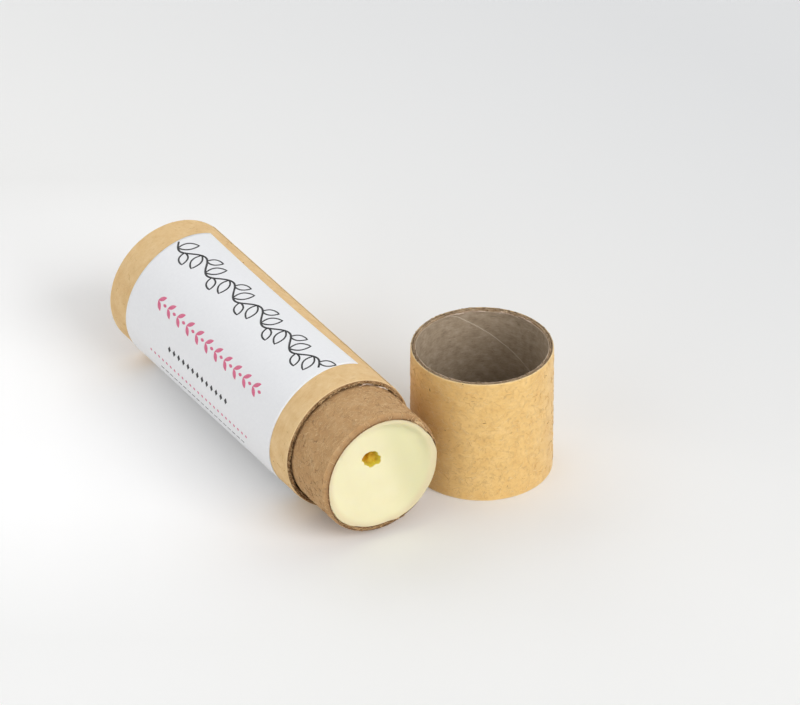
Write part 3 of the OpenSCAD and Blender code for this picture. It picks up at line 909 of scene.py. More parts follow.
RIM_FIBRES = {"Length": 0.8 * MM, "Thickness": 0.04 * MM, "Curl": 0.5 * MM, "Turn": 0.4, "Lift": 0.35}
ROUGH_FIBRES = {**RIM_FIBRES, "Length": 0.55 * MM, "Turn": 1.2}
RIM_SHREDS = {"Length": 2.0 * MM, "Thickness": 0.075 * MM, "Curl": 0.5 * MM, "Turn": 0.12, "Lift": 0.15}
FRAYS = {"grey": (RIM_FIBRES, grey_fibre), "rough": (ROUGH_FIBRES, brown_fibre),
         "fibres": (RIM_FIBRES, brown_fibre), "shreds": (RIM_SHREDS, shred),
         "strands": (RIM_SHREDS, brown_fibre)}
WALL_MIDDLE = TUBE_R - 0.16 * MM
PEEL = radii("cap_lining")[0] + 0.04 * MM
GAP = NECK_R + 0.2 * MM
TIP_RING = NECK_R - 0.12 * MM
RIMS = {"cap": CAP_TOP, "shoulder": SHOULDER, "neck": NECK_TIP, "base": BASE}

for name, count, r, depth, past_rim, middle, half, seed in (
        ("cap_rim_grey_fibres", 420, WALL_MIDDLE, 0.55, -0.06, 0, 180, 11),
        ("cap_rim_shreds_left", 7, PEEL, 0.06, -0.34, 173, 8, 12),
        ("cap_rim_shreds_back", 4, PEEL, 0.06, -0.3, 152, 9, 24),
        ("cap_rim_shreds_right", 6, PEEL, 0.06, -0.32, 131, 7, 13),
        ("cap_rim_shreds_side", 4, PEEL, 0.06, -0.2, 105, 8, 25),
        ("shoulder_rough_fibres", 620, WALL_MIDDLE, 0.6, -0.04, 0, 180, 14),
        ("shoulder_shreds", 10, GAP, 0.2, 0.01, 27, 12, 15),
        ("neck_rim_fibres", 260, TIP_RING, 0.6, -0.1, -152, 48, 16),
        ("neck_rim_fibres_top", 150, TIP_RING, 0.3, -0.1, -40, 75, 26),
        ("neck_rim_fibres_right", 60, TIP_RING, 0.55, -0.1, 46, 12, 18),
        ("neck_rim_strands", 26, NECK_R - 0.04 * MM, 0.35, -0.03, 56, 19, 19),
        ("base_rim_fibres", 800, TUBE_R - 0.18 * MM, 1.4, 0.08, 0, 180, 17)):
    rim = name.split("_")[0]
    body, on_axis = ("cap", ON_CAP) if rim == "cap" else ("tube", ON_TUBE)
    end = RIMS[rim] + past_rim * MM
    style, surface = next(fray for kind, fray in FRAYS.items() if kind in name)
    frayed = strew(name, count, r, end - 0.05 * MM, end + 0.05 * MM, surface, body, "grey_board", on_axis,
                   style, Depth=depth * MM, Arc_middle=math.radians(middle), Arc_half=math.radians(half),
                   Seed=seed)
    if rim == "neck":
        roll_in(frayed)
print("rims frayed:", ", ".join(RIMS))

# %% [markdown]
# Discs of paper and board close the piston and the cap. They are flat when they are punched, and dish
# and cockle a little where they are pressed in. A flat circle would catch the light all at once, as
# plastic does, so each is one grid of rings from the middle out and back again.

# %% Press in the paper discs
DISH = 0.10 * MM
COCKLE, COCKLE_SIZE = 0.02 * MM, 2.5 * MM
DISC_STEPS = 96
DISC_ROWS = 20


def ring_faces(rings, steps):
    """Quads between each ring of points and the next, all the way round."""
    return [(k * steps + i, k * steps + (i + 1) % steps,
             (k + 1) * steps + (i + 1) % steps, (k + 1) * steps + i)
            for k in range(rings - 1) for i in range(steps)]


def disc(node, axis, surface, body, slot, into):
    """A punched disc, dished into its tube, in the place of the solid of that name."""
    low, high = (corner[axis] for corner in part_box(node))
    rim = radii(node)[1] - 0.02 * MM
    shares = [(k / DISC_ROWS, low) for k in range(DISC_ROWS + 1)]
    shares += [(k / DISC_ROWS, high) for k in range(DISC_ROWS, -1, -1)]
    verts = []
    for share, level in shares:
        for i in range(DISC_STEPS):
            a = 2 * math.pi * i / DISC_STEPS
            x, y = share * rim * math.cos(a), share * rim * math.sin(a)
            cockle = COCKLE * noise.noise(Vector((x, y, 0)) / COCKLE_SIZE) * (1 - share)
            verts.append((x, y, level + into * DISH * (1 - share * share) + cockle))
    mesh = bpy.data.meshes.new(node + "_paper")
    mesh.from_pydata(verts, [], ring_faces(len(shares), DISC_STEPS))
    work = bmesh.new()
    work.from_mesh(mesh)
    bmesh.ops.remove_doubles(work, verts=work.verts, dist=0.001 * MM)
    work.to_mesh(mesh)
    work.free()
    mesh.transform(ON_CAP if node.startswith("cap_") else ON_TUBE)
    return dress(finished_mesh(node + "_paper", mesh), surface, body, slot, node)


# Plain kraft, seen only in the base and inside the cap: tan, dull and softly fibrous.
disc_kraft = paper("kraft_paper_disc", "#e0bf8c", "#d5b27d", "#c69f69", "#8a6236", "Object")
disc("base_cover", 0, disc_kraft, "pusher", "kraft_wrap", 1)
disc("cap_end_cover", 2, disc_kraft, "cap", "kraft_wrap", 1)

# %% [markdown]
# The other discs and the piston's ring are hidden, or seen only deep inside a tube or past the balm.
# A shape of their own would show nothing more, so they keep their solids and only get their material.

# %% Dress the hidden solids

# Greaseproof paper is beaten until hardly a fibre is left to see. It is pale, even and waxy.
greaseproof = paper("greaseproof_paper", "#ece3c9", "#e4dabd", "#d9cda9", "#c4b68f", "Object", 0.3, 0.2, 0.1,
                    0.5, 0.55)
for node, surface in (("piston_disc", board), ("piston_ring", board), ("balm_seal", greaseproof),
                      ("cap_end_disc", board), ("cap_end_lining", stained)):
    frame["nodes"][node].data.materials.clear()
    frame["nodes"][node].data.materials.append(surface)
    print(node, "keeps its solid, in", surface.name)

# %% [markdown]
# The balm was poured in hot and set from the wall inwards. It climbed the wall a little where it
# wetted the paper, ran over the rim on the side of the cap, shrank away at the bottom and drew in
# above the middle, where the last liquid sank and left a small sharp-edged hollow. A disc with a hole
# cut by a boolean would give hard, even edges. Instead the face is one grid of rings that starts in
# the floor of the hollow, climbs its wall, and spreads to the rim, so every edge can be soft. The
# hollow's edge comes first: a few corners about its middle, with a smooth line through them.

# %% Find the hollow's edge
SINK_MIDDLE = (-1.25, 2.55)
SINK_CORNERS = [(-179, 1.4), (-130, 1.17), (-95, 1.36), (-66, 1.28), (-32, 1.8), (-4, 1.62),
                (26, 1.25), (48, 1.48), (80, 1.57), (109, 1.75), (134, 1.98), (159, 2.05)]
CORNER_BLEND = 13
EDGE_CRUMBLE_MM = 0.05
FACE_R = radii("balm")[1] / MM


def bell(value, middle, half_width):
    """1 at the middle, falling smoothly to 0 some half-widths away, for an angle in degrees."""
    away = (value - middle + 180) % 360 - 180
    return math.exp(-(away / half_width) ** 2)


def sink_edge(angle):
    """The radius of the hollow's edge at an angle about its middle, in millimetres."""
    total = weights = 0.0
    for corner, r in SINK_CORNERS:
        weight = bell(math.degrees(angle), corner, CORNER_BLEND) + 1e-6
        total += weight * r
        weights += weight
    ray = Vector((math.cos(angle), math.sin(angle), 0.3))
    return total / weights + EDGE_CRUMBLE_MM * noise.noise(ray * 3.5)


def to_rim(angle, radius):
    """From the hollow's middle along a ray to the circle of that radius about the face's middle."""
    cx, cy = SINK_MIDDLE
    b = cx * math.cos(angle) + cy * math.sin(angle)
    return -b + math.sqrt(b * b - cx * cx - cy * cy + radius * radius)


print(f"in a face of radius {FACE_R:.2f} mm, the hollow is {math.hypot(*SINK_MIDDLE):.1f} mm off the middle")

# %% [markdown]
# Where the mould was overfilled, the balm ran over the rim and set there as a lip. How far it ran is a
# share from 0 to 1 at some angles about the face's middle, counted from the cap's side upwards, with a
# smooth change from each to the next.

# %% Find how far the balm ran over
SPILL_START = -114
SPILL_SHARES = [(SPILL_START, 0.0), (-86, 0.0), (-70, 0.3), (-57, 0.65), (-45, 0.85), (-31, 0.95),
                (3, 0.92), (19, 0.5), (34, 0.08), (60, 0.0), (150, 0.0), (178, 0.12), (205, 0.3),
                (217, 0.4), (230, 0.2), (246, 0.0)]


def smooth(value, start, end):
    """0 before start, 1 after end, and smooth between them."""
    t = max(0.0, min(1.0, (value - start) / (end - start)))
    return t * t * (3 - 2 * t)


def spill(angle):
    """How far the balm ran over the rim at an angle about the face's middle, from 0 to 1."""
    degrees = (math.degrees(angle) - SPILL_START) % 360 + SPILL_START
    for (start, before), (end, after) in zip(SPILL_SHARES, SPILL_SHARES[1:]):
        if degrees <= end:
            return before + (after - before) * smooth(degrees, start, end)
    return 0.0


print("the balm ran over by up to", max(share for angle, share in SPILL_SHARES), "of a full lip")

# %% [markdown]
# The face is a shallow dish that lies under the rim. Beside the cap, the balm climbed the wall and
# left a shallow moat inside the climb. It is drawn in towards the hollow, it stands up under the lip,
# and one nick shows where it came away from the wall. Each of these is one term of a height, in
# millimetres, with the directions in degrees.

# %% Give the face its height
UNDER_RIM, DISH_DEPTH = 0.26, 0.34
LOW_SIDE, LOW_SIDE_RISE, LOW_SIDE_R = -100, 0.16, 7
CLIMB_SIDE, CLIMB, CLIMB_EVERYWHERE, CLIMB_FROM_WALL, CLIMB_WIDTH = 55, 0.40, 0.04, 0.5, 0.62
MOAT, MOAT_R, MOAT_WIDTH = 0.26, 7.1, 1.2
DRAWN_IN, DRAWN_IN_R = 0.12, 2.6
LIP_RISE, LIP_FROM_R, LIP_TO_R = 0.36, 6.4, 9.1
NICK, NICK_SIDE, NICK_HALF, NICK_WIDTH = 0.45, 145, 3, 0.6
SIDE_HALF = 50


def face_height(y, z):
    """The height of the balm's face over the rim of the neck, in millimetres."""
    r = math.hypot(y, z)
    degrees = math.degrees(math.atan2(z, y))
    low = bell(degrees, LOW_SIDE, SIDE_HALF)
    climb = bell(degrees, CLIMB_SIDE, SIDE_HALF)
    over = spill(math.radians(degrees))
    height = -UNDER_RIM - DISH_DEPTH * (1 - (r / FACE_R) ** 2)
    height += LOW_SIDE_RISE * low * min(1, r / LOW_SIDE_R) ** 2
    from_wall = (FACE_R - CLIMB_FROM_WALL - r) / CLIMB_WIDTH
    height += (CLIMB * climb + CLIMB_EVERYWHERE) * math.exp(-from_wall ** 2)
    height -= MOAT * climb * math.exp(-((r - MOAT_R) / MOAT_WIDTH) ** 2)
    away = math.hypot(y - SINK_MIDDLE[0], z - SINK_MIDDLE[1])
    height -= DRAWN_IN * math.exp(-(away / DRAWN_IN_R) ** 2)
    height += LIP_RISE * smooth(over, 0, 0.3) * smooth(r, LIP_FROM_R, LIP_TO_R)
    height -= NICK * bell(degrees, NICK_SIDE, NICK_HALF) * math.exp(-((FACE_R - r) / NICK_WIDTH) ** 2)
    height += 0.03 * noise.noise(Vector((y, z, 0.5)) / 3.1)
    return height


print(f"the face's middle lies {-face_height(0, 0):.2f} mm under the rim")

# %% [markdown]
# The rings begin as points of the hollow's floor, climb its wall and reach its sharp edge. From there
# they change step by step from the edge's shape into the round rim. Every ring has the same number of
# points on the same rays, so neighbouring rings join into quads without a twist.

# %% Ring the hollow and the face
BALM_STEPS = 260
SINK_ROWS = 16
SINK_DEPTH = 1.6
FLOOR_END, WALL_START = 0.4, 0.3
FACE_ROWS = 54
RAYS = [2 * math.pi * i / BALM_STEPS for i in range(BALM_STEPS)]


def ring_about_sink(reach, height):
    """A ring about the hollow's middle, as (y, z, x) in millimetres, x counted from the neck's rim."""
    ring = []
    for a in RAYS:
        y = SINK_MIDDLE[0] + reach(a) * math.cos(a)
        z = SINK_MIDDLE[1] + reach(a) * math.sin(a)
        ring.append((y, z, height(y, z, a)))
    return ring


def sink_ring(t):
    """A ring of the hollow: its floor at t = 0, its edge at t = 1."""
    if t < FLOOR_END:
        across = 0.03 + 0.74 * min(1.0, t / FLOOR_END)
    else:
        across = 0.77 + 0.23 * ((t - FLOOR_END) / (1 - FLOOR_END)) ** 1.5
    up = 0.0 if t < WALL_START else ((t - WALL_START) / (1 - WALL_START)) ** 1.2

    def height(y, z, a):
        lump = 0.4 * noise.noise(Vector((y, z, 3.3)) / 0.7) + 0.5 * math.cos(a - 2.5)
        return face_height(y, z) - (SINK_DEPTH + lump) * (1 - up)

    return ring_about_sink(lambda a: across * sink_edge(a), height)


rings = [sink_ring(k / SINK_ROWS) for k in range(SINK_ROWS + 1)]
for k in range(1, FACE_ROWS + 1):
    t = (k / FACE_ROWS) ** 1.1
    rings.append(ring_about_sink(
        lambda a, t=t: sink_edge(a) * (1 - t) + to_rim(a, FACE_R - 0.05) * t,
        lambda y, z, a: face_height(y, z)))
rim_angles = [math.atan2(z, y) for y, z, x in rings[-1]]
print("the hollow and the face are", len(rings), "rings")

# %% [markdown]
# The rings run on from the face over the spill, back under it, down the side and across the foot,
# which narrows where the piston's ring holds it. So the whole balm is one closed skin.

# %% Cast the balm
BALM_FOOT = (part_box("balm")[0].x - NECK_TIP) / MM
STEP = (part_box("piston_ring")[1].x - NECK_TIP) / MM + 0.02
FOOT_R = radii("piston_ring")[0] / MM - 0.03
LIP_REACH = 0.74
LIP_OUTLINE = ((0.3, 0.0), (0.6, 0.02), (0.82, 0.07), (0.95, 0.15), (1.0, 0.25), (0.95, 0.33),
               (0.6, 0.36), (0.0, 0.36))
for reach, fall in LIP_OUTLINE:
    ring = []
    for a in rim_angles:
        over = spill(a)
        uneven = 1 + 0.12 * noise.noise(Vector((math.cos(a), math.sin(a), 0.7)) * 4)
        r = FACE_R + reach * LIP_REACH * over * uneven
        top = face_height(FACE_R * math.cos(a), FACE_R * math.sin(a))
        ring.append((r * math.cos(a), r * math.sin(a), top - fall * (0.3 + 0.7 * over)))
    rings.append(ring)
for r, x in ((FACE_R, -1.4), (FACE_R, -4), (FACE_R, -12), (FACE_R, -28), (FACE_R, STEP + 0.3), (FACE_R, STEP),
             (FOOT_R, STEP), (FOOT_R, STEP - 0.3), (FOOT_R, BALM_FOOT), (4.0, BALM_FOOT), (0.02, BALM_FOOT)):
    rings.append([(r * math.cos(a), r * math.sin(a), x) for a in rim_angles])

balm_verts = [(NECK_TIP + x * MM, TUBE_Y + y * MM, TUBE_Z + z * MM) for ring in rings for y, z, x in ring]
balm_faces = ring_faces(len(rings), BALM_STEPS)
balm_faces.append(tuple(range(BALM_STEPS)))
balm_faces.append(tuple((len(rings) - 1) * BALM_STEPS + i for i in range(BALM_STEPS)))
balm_mesh = bpy.data.meshes.new("balm_cast")
balm_mesh.from_pydata(balm_verts, [], balm_faces)
balm = finished_mesh("balm_cast", balm_mesh)
print(f"balm of {len(balm_verts)} points in {len(rings)} rings")

# %% [markdown]
# Lip balm is beeswax, butter and oil. The side by the cap is a little greener, and it is painted duller as
# shade where the face turns from the light. By the wall some of the light is lost in the brown paper, and
# that is painted in as a darker tone. In the hollow the light bounces from yellow wall to yellow wall and
# comes out deeper. Three attributes say how far over to that side, how near to the wall and how deep in the
# hollow a point lies, because a renderer's few bounces don't carry that far. A painted image would say it
# too, but these follow the shape by rule.

# %% Measure where the balm's tone changes
FULL_DEPTH_MM = 1.5


def sunk(point):
    """How deep in the hollow a point lies, from 0 to 1."""
    y = (point.y - TUBE_Y) / MM
    z = (point.z - TUBE_Z) / MM
    depth = face_height(y, z) - (point.x - NECK_TIP) / MM
    away = math.hypot(y - SINK_MIDDLE[0], z - SINK_MIDDLE[1])
    return max(0.0, min(1.0, depth / FULL_DEPTH_MM)) if away < 2.3 else 0.0


def painted_shade_side(point):
    """How far over to the side by the cap, where shade is painted, a point lies, from 0 to 1."""
    return smooth((point.y - TUBE_Y + 0.3 * (point.z - TUBE_Z)) / MM, 0.0, 5.0)


def wall_shade(point):
    """How near to the wall a point of the face lies, from 0 to 1. The balm's side has none of it."""
    r = math.hypot(point.y - TUBE_Y, point.z - TUBE_Z) / MM
    return smooth(r, 8.0, 9.15) * smooth((point.x - NECK_TIP) / MM, -1.4, -0.7)


for label, rule in (("sunk", sunk), ("shade_side", painted_shade_side), ("wall_shade", wall_shade)):
    shares = [rule(v.co) for v in balm.data.vertices]
    balm.data.attributes.new(label, "FLOAT", "POINT").data.foreach_set("value", shares)
    print(f"{label}: {sum(share > 0 for share in shares)} points of the balm")

# %% [markdown]
# Cast wax lets light in: it goes a few millimetres deep and comes out again, so the balm glows softly
# and has hardly any shading of its own. Its skin is smooth, with a faint bloom 4 mm across and a grain
# of 0.8 mm. A plain diffuse white would look like chalk, so some of the light is scattered below the
# skin, the red of it farthest.

# %% Make the balm's wax
BLOOM_MM = 4
GRAIN_MM = 0.8

wax, wax_tree, wax_shader = new_surface("beeswax_balm_cast")
wax_place = add(wax_tree, "ShaderNodeTexCoord", output="Object")
bloom = add(wax_tree, "ShaderNodeTexNoise", {
    "Vector": wax_place, "Scale": 1 / (BLOOM_MM * MM), "Detail": 3.0})
skin = add(wax_tree, "ShaderNodeMix", {"Factor": bloom, "A": linear("#dfd7af"), "B": linear("#e7e1bc")},
           data_type="RGBA")
# painted shade: the side by the cap is mixed towards a duller, greener tone
shade_side_here = add(wax_tree, "ShaderNodeAttribute", output="Fac", attribute_name="shade_side")
skin = add(wax_tree, "ShaderNodeMix", {"Factor": shade_side_here, "A": skin, "B": linear("#d6d1a7")},
           data_type="RGBA")
# painted shade: near the wall the face is mixed towards a darker, browner tone
wall_shade_here = add(wax_tree, "ShaderNodeAttribute", output="Fac", attribute_name="wall_shade")
wall_shade_here = add(wax_tree, "ShaderNodeMath", {0: wall_shade_here, 1: 0.7}, operation="MULTIPLY")
skin = add(wax_tree, "ShaderNodeMix", {"Factor": wall_shade_here, "A": skin, "B": linear("#d3c3a0")},
           data_type="RGBA")
depth_here = add(wax_tree, "ShaderNodeAttribute", output="Fac", attribute_name="sunk")
in_hollow = add(wax_tree, "ShaderNodeMapRange", {"Value": depth_here, "From Max": 0.12})
deeper = add(wax_tree, "ShaderNodeMapRange", {"Value": depth_here, "From Min": 0.3, "From Max": 0.95})
hollow = add(wax_tree, "ShaderNodeMix", {"Factor": deeper, "A": linear("#dac94a"), "B": linear("#c09017")},
             data_type="RGBA")
wax_colour = add(wax_tree, "ShaderNodeMix", {"Factor": in_hollow, "A": skin, "B": hollow}, data_type="RGBA")
wax_tree.links.new(wax_colour, wax_shader.inputs["Base Color"])
grain = add(wax_tree, "ShaderNodeTexNoise", {
    "Vector": wax_place, "Scale": 1 / (GRAIN_MM * MM), "Detail": 2.0})
wax_bumps = add(wax_tree, "ShaderNodeBump", {"Height": grain, "Strength": 0.25, "Distance": 0.03 * MM})
wax_tree.links.new(wax_bumps, wax_shader.inputs["Normal"])
wax_shader.inputs["Roughness"].default_value = 0.48
wax_shader.inputs["Specular IOR Level"].default_value = 0.3
wax_shader.inputs["IOR"].default_value = 1.44
wax_shader.inputs["Subsurface Weight"].default_value = 0.3
wax_shader.inputs["Subsurface Radius"].default_value = (1.0, 0.75, 0.35)
wax_shader.inputs["Subsurface Scale"].default_value = 0.6 * MM
dress(balm, wax, "pusher", "balm_wax", "balm")

# %% [markdown]
# The label is a strip of white adhesive paper, stuck on by hand. It is a curved sheet a tenth of a
# millimetre thick, with a real edge. It isn't quite square to the tube: pressed down from the middle,
# its sides bow by half a millimetre and its upper edge sags. Its low side stops 0.2 mm short of the
# solid's, so that the bow stays within it. A sheet could be solidified after it is bent, but here both
# of its faces are computed, so the edge stays exactly as thick.

# %% Stick on the label
LABEL_LOW, LABEL_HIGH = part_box("label")[0].x + 0.2 * MM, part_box("label")[1].x
LABEL_T = 0.1 * MM
LABEL_LIFT = 0.015 * MM
LABEL_EDGE = math.radians(24.5)
LABEL_WRAP = math.radians(196.5)
LABEL_SKEW = 0.002
LABEL_BOW, LABEL_BOW_MIDDLE = 0.6 * MM, math.radians(69.5)
LABEL_BOW_RATE, LABEL_BOW_SHIFT = 1.4, 0.58
LABEL_SAG, LABEL_SAG_FADE, LABEL_SAG_MIDDLE = math.radians(2.0), math.radians(12.1), 0.4
LABEL_COLUMNS, LABEL_ROWS = 91, 181


def label_point(column, row, height):
    """A point of the label at a height over the tube."""
    share = column / (LABEL_COLUMNS - 1)
    fallen = LABEL_WRAP * row / (LABEL_ROWS - 1)
    sag = LABEL_SAG - LABEL_SAG_FADE * (share - LABEL_SAG_MIDDLE) ** 2
    angle = LABEL_EDGE - fallen - sag * (1 - fallen / LABEL_WRAP)
    bow = LABEL_BOW * (math.cos(LABEL_BOW_RATE * (fallen - LABEL_BOW_MIDDLE)) - LABEL_BOW_SHIFT)
    x = LABEL_LOW + (LABEL_HIGH - LABEL_LOW) * share + LABEL_SKEW * TUBE_R * fallen + bow
    return on_tube(TUBE_R + height + round_error(angle), angle, x)


grid = [(column, row) for row in range(LABEL_ROWS) for column in range(LABEL_COLUMNS)]
label_verts = [label_point(*spot, height) for height in (LABEL_T, LABEL_LIFT) for spot in grid]
under = len(grid)
label_faces = []
for row in range(LABEL_ROWS - 1):
    for column in range(LABEL_COLUMNS - 1):
        a = row * LABEL_COLUMNS + column
        quad = (a, a + 1, a + 1 + LABEL_COLUMNS, a + LABEL_COLUMNS)
        label_faces += [quad, tuple(v + under for v in reversed(quad))]
edge = list(range(LABEL_COLUMNS))
edge += [(row + 1) * LABEL_COLUMNS - 1 for row in range(1, LABEL_ROWS)]
edge += [LABEL_ROWS * LABEL_COLUMNS - 1 - k for k in range(1, LABEL_COLUMNS)]
edge += [row * LABEL_COLUMNS for row in range(LABEL_ROWS - 2, 0, -1)]
label_faces += [(a, a + under, b + under, b) for a, b in zip(edge, edge[1:] + edge[:1])]
label_mesh = bpy.data.meshes.new("label_sheet")
label_mesh.from_pydata(label_verts, [], label_faces)
label = finished_mesh("label_sheet", label_mesh)
print("the label is", round((LABEL_HIGH - LABEL_LOW) / MM, 1), "mm long and goes",
      round(LABEL_WRAP * TUBE_R / MM, 1), "mm round the tube")

# %% [markdown]
# White label paper is coated with clay and rolled smooth. It shows as an even, slightly cool white
# with a faint sheen and hardly any grain, which is what sets it off from the kraft. The grain is half
# a millimetre, coarser than the real coating, which wouldn't show.

# %% Make the label's paper
COATING_MM = 0.5

label_paper, label_tree, label_shader = new_surface("white_label_paper_coated")
label_place = add(label_tree, "ShaderNodeTexCoord", output="Object")
label_grain = add(label_tree, "ShaderNodeTexNoise", {
    "Vector": label_place, "Scale": 1 / (COATING_MM * MM), "Detail": 4.0})
label_tone = add(label_tree, "ShaderNodeMix", {
    "Factor": label_grain, "A": linear("#e8e9ec"), "B": linear("#f0f1f3")}, data_type="RGBA")
label_tree.links.new(label_tone, label_shader.inputs["Base Color"])
label_bumps = add(label_tree, "ShaderNodeBump", {
    "Height": label_grain, "Strength": 0.3, "Distance": 0.01 * MM})
label_tree.links.new(label_bumps, label_shader.inputs["Normal"])
label_shader.inputs["Roughness"].default_value = 0.5
dress(label, label_paper, "tube", "label_paper", "label")

# %% [markdown]
# The print is plain ornament: a fine garland, a row of leaf pairs, small lozenges, dots and a stitched
# line. An image could be laid over the label, but a row of one repeated mark is a job for a geometry
# tree. It repeats a flat mark at an even pitch and gives it a thickness of ink. The underside is the
# same marks turned over, and the two are merged at their rims, so every mark is a closed solid.

# %% Repeat a mark in a tree
printing, given = new_recipe("printed_row", {
    "Count": "Int", "Pitch": "Float", "Start": "Float", "Down": "Float", "Radius": "Float",
    "Edge angle": "Float", "Skew": "Float", "Ink": "Float", "Finer": "Int"})
mark_number = add(printing, "GeometryNodeInputIndex")
mark_along = add(printing, "ShaderNodeMath", {0: mark_number, 1: given["Pitch"], 2: given["Start"]},
                 operation="MULTIPLY_ADD")
mark_spot = add(printing, "ShaderNodeCombineXYZ", {"X": mark_along, "Y": given["Down"]})
mark_spots = add(printing, "GeometryNodePoints", {"Count": given["Count"], "Position": mark_spot})
finer_mark = add(printing, "GeometryNodeSubdivideMesh", {"Mesh": given["Geometry"], "Level": given["Finer"]})
marks = add(printing, "GeometryNodeInstanceOnPoints", {"Points": mark_spots, "Instance": finer_mark})
marks = add(printing, "GeometryNodeRealizeInstances", {"Geometry": marks})
inked = add(printing, "GeometryNodeExtrudeMesh", {
    "Mesh": marks, "Offset": (0.0, 0.0, 1.0), "Offset Scale": given["Ink"], "Individual": False})
turned_over = add(printing, "GeometryNodeFlipFaces", {"Mesh": marks})
both = printing.nodes.new("GeometryNodeJoinGeometry")
for side in (inked, turned_over):
    printing.links.new(side, both.inputs[0])
slab = add(printing, "GeometryNodeMergeByDistance", {"Geometry": both.outputs[0], "Distance": 0.0005 * MM})
print("the print recipe repeats with", len(printing.nodes), "nodes")

# %% [markdown]
# Then the flat row is wrapped on the label, with the label's skew and the tube's own error, so that
# the ink lies at the same small height over the paper everywhere.

# %% Wrap the row on the label
flat = add(printing, "GeometryNodeInputPosition")
flat_x = add(printing, "ShaderNodeSeparateXYZ", {0: flat}, output="X")
flat_down = add(printing, "ShaderNodeSeparateXYZ", {0: flat}, output="Y")
flat_up = add(printing, "ShaderNodeSeparateXYZ", {0: flat}, output="Z")
fallen = add(printing, "ShaderNodeMath", {0: flat_down, 1: given["Radius"]}, operation="DIVIDE")
angle = add(printing, "ShaderNodeMath", {0: given["Edge angle"], 1: fallen}, operation="SUBTRACT")
radius = add(printing, "ShaderNodeMath", {0: flat_up, 1: given["Radius"]}, operation="ADD")
radius = out_of_round(printing, angle, radius)
skewed = add(printing, "ShaderNodeMath", {0: flat_down, 1: given["Skew"], 2: flat_x},
             operation="MULTIPLY_ADD")
wrapped = about_axis(printing, angle, radius, skewed)
printed = add(printing, "GeometryNodeSetPosition", {"Geometry": slab, "Position": wrapped})
end_recipe(printing, printed, given["Surface"])
print("the whole print recipe has", len(printing.nodes), "nodes")

# %% [markdown]
# A mark is drawn flat, in millimetres, with x along the label and y down it. A drawn line is a strip
# of quads on both sides of its path, and a filled leaf is a fan of short strips, so both can bend.

# %% Draw a line, a leaf and a filled shape


def stroke(path, width, closed=False):
    """A line of even width along a path of points."""
    verts, faces = [], []
    count = len(path)
    for k, (x, y) in enumerate(path):
        x0, y0 = path[(k - 1) % count] if closed or k else path[0]
        x1, y1 = path[(k + 1) % count] if closed or k < count - 1 else path[-1]
        long = math.hypot(x1 - x0, y1 - y0) or 1
        nx, ny = -(y1 - y0) / long * width / 2, (x1 - x0) / long * width / 2
        verts += [(x + nx, y + ny), (x - nx, y - ny)]
    for k in range(count if closed else count - 1):
        a, b = 2 * k, 2 * ((k + 1) % count)
        faces.append((a, a + 1, b + 1, b))
    return verts, faces


def leaf_path(x, y, length, width, lean, points=10):
    """The outline of a pointed leaf that starts at a place and leans by an angle in degrees."""
    c, s = math.cos(math.radians(lean)), math.sin(math.radians(lean))
    rim = [(t / points, 1) for t in range(points)] + [(1 - t / points, -1) for t in range(points)]
    flat = [(t * length, side * width / 2 * math.sin(math.pi * t) ** 0.8) for t, side in rim]
    return [(x + u * c - v * s, y + u * s + v * c) for u, v in flat]


def filled(path):
    """A filled shape whose outline was drawn in two equal halves from one tip to the other and back."""
    half = len(path) // 2
    near, far = path[:half + 1], [path[0]] + path[:half - 1:-1]
    verts = near + far
    faces = [(k, k + 1, half + 2 + k, half + 1 + k) for k in range(half)]
    return verts, faces


print("a leaf's outline has", len(leaf_path(0, 0, 1, 1, 0)), "points")

# %% [markdown]
# A mark is several such shapes in one flat mesh, with all its faces up. The garland's stem is one wave
# that begins as it ends, so that it runs on from mark to mark, and its leaves are outlines, as a pen
# would draw them. The small marks are filled.

# %% Draw the marks


def drawn(name, shapes):
    """One flat mesh of several shapes, its faces up."""
    verts, faces = [], []
    for shape_verts, shape_faces in shapes:
        faces += [tuple(v + len(verts) for v in face) for face in shape_faces]
        verts += [(x * MM, y * MM, 0) for x, y in shape_verts]
    mesh = bpy.data.meshes.new(name)
    mesh.from_pydata(verts, [], faces)
    work = bmesh.new()
    work.from_mesh(mesh)
    bmesh.ops.remove_doubles(work, verts=work.verts, dist=0.0005 * MM)
    bmesh.ops.dissolve_degenerate(work, edges=work.edges, dist=0.0005 * MM)
    for face in work.faces:
        face.normal_update()
        if face.normal.z < 0:
            face.normal_flip()
    work.to_mesh(mesh)
    work.free()
    return mesh


GARLAND_PITCH = 8.4
STEM_POINTS, STEM_SWING = 28, 1.15
stem = [(GARLAND_PITCH * k / STEM_POINTS, STEM_SWING * math.sin(2 * math.pi * k / STEM_POINTS))
        for k in range(STEM_POINTS + 1)]
garland = drawn("garland_mark", [
    stroke(stem, 0.33),
    stroke(leaf_path(1.3, 0.9, 3.3, 1.7, -62), 0.29, True),
    stroke(leaf_path(3.1, 0.75, 2.7, 1.5, 42), 0.29, True),
    stroke(leaf_path(5.5, -0.9, 3.3, 1.7, 62), 0.29, True),
    stroke(leaf_path(7.3, -0.75, 2.7, 1.5, -42), 0.29, True),
])
leaf_pair = drawn("leaf_pair_mark", [
    filled(leaf_path(0, 0, 1.9, 0.72, 38)), filled(leaf_path(0, 0, 1.9, 0.72, -38)),
    filled(leaf_path(1.5, 0, 0.95, 0.5, 0))])
lozenge = drawn("lozenge_mark", [([(-0.42, 0), (0, -0.55), (0.42, 0), (0, 0.55)], [(0, 1, 2, 3)])])
DOT_R, DOT_SIDES = 0.26, 12
DOT_TURNS = [2 * math.pi * k / DOT_SIDES for k in range(DOT_SIDES)]
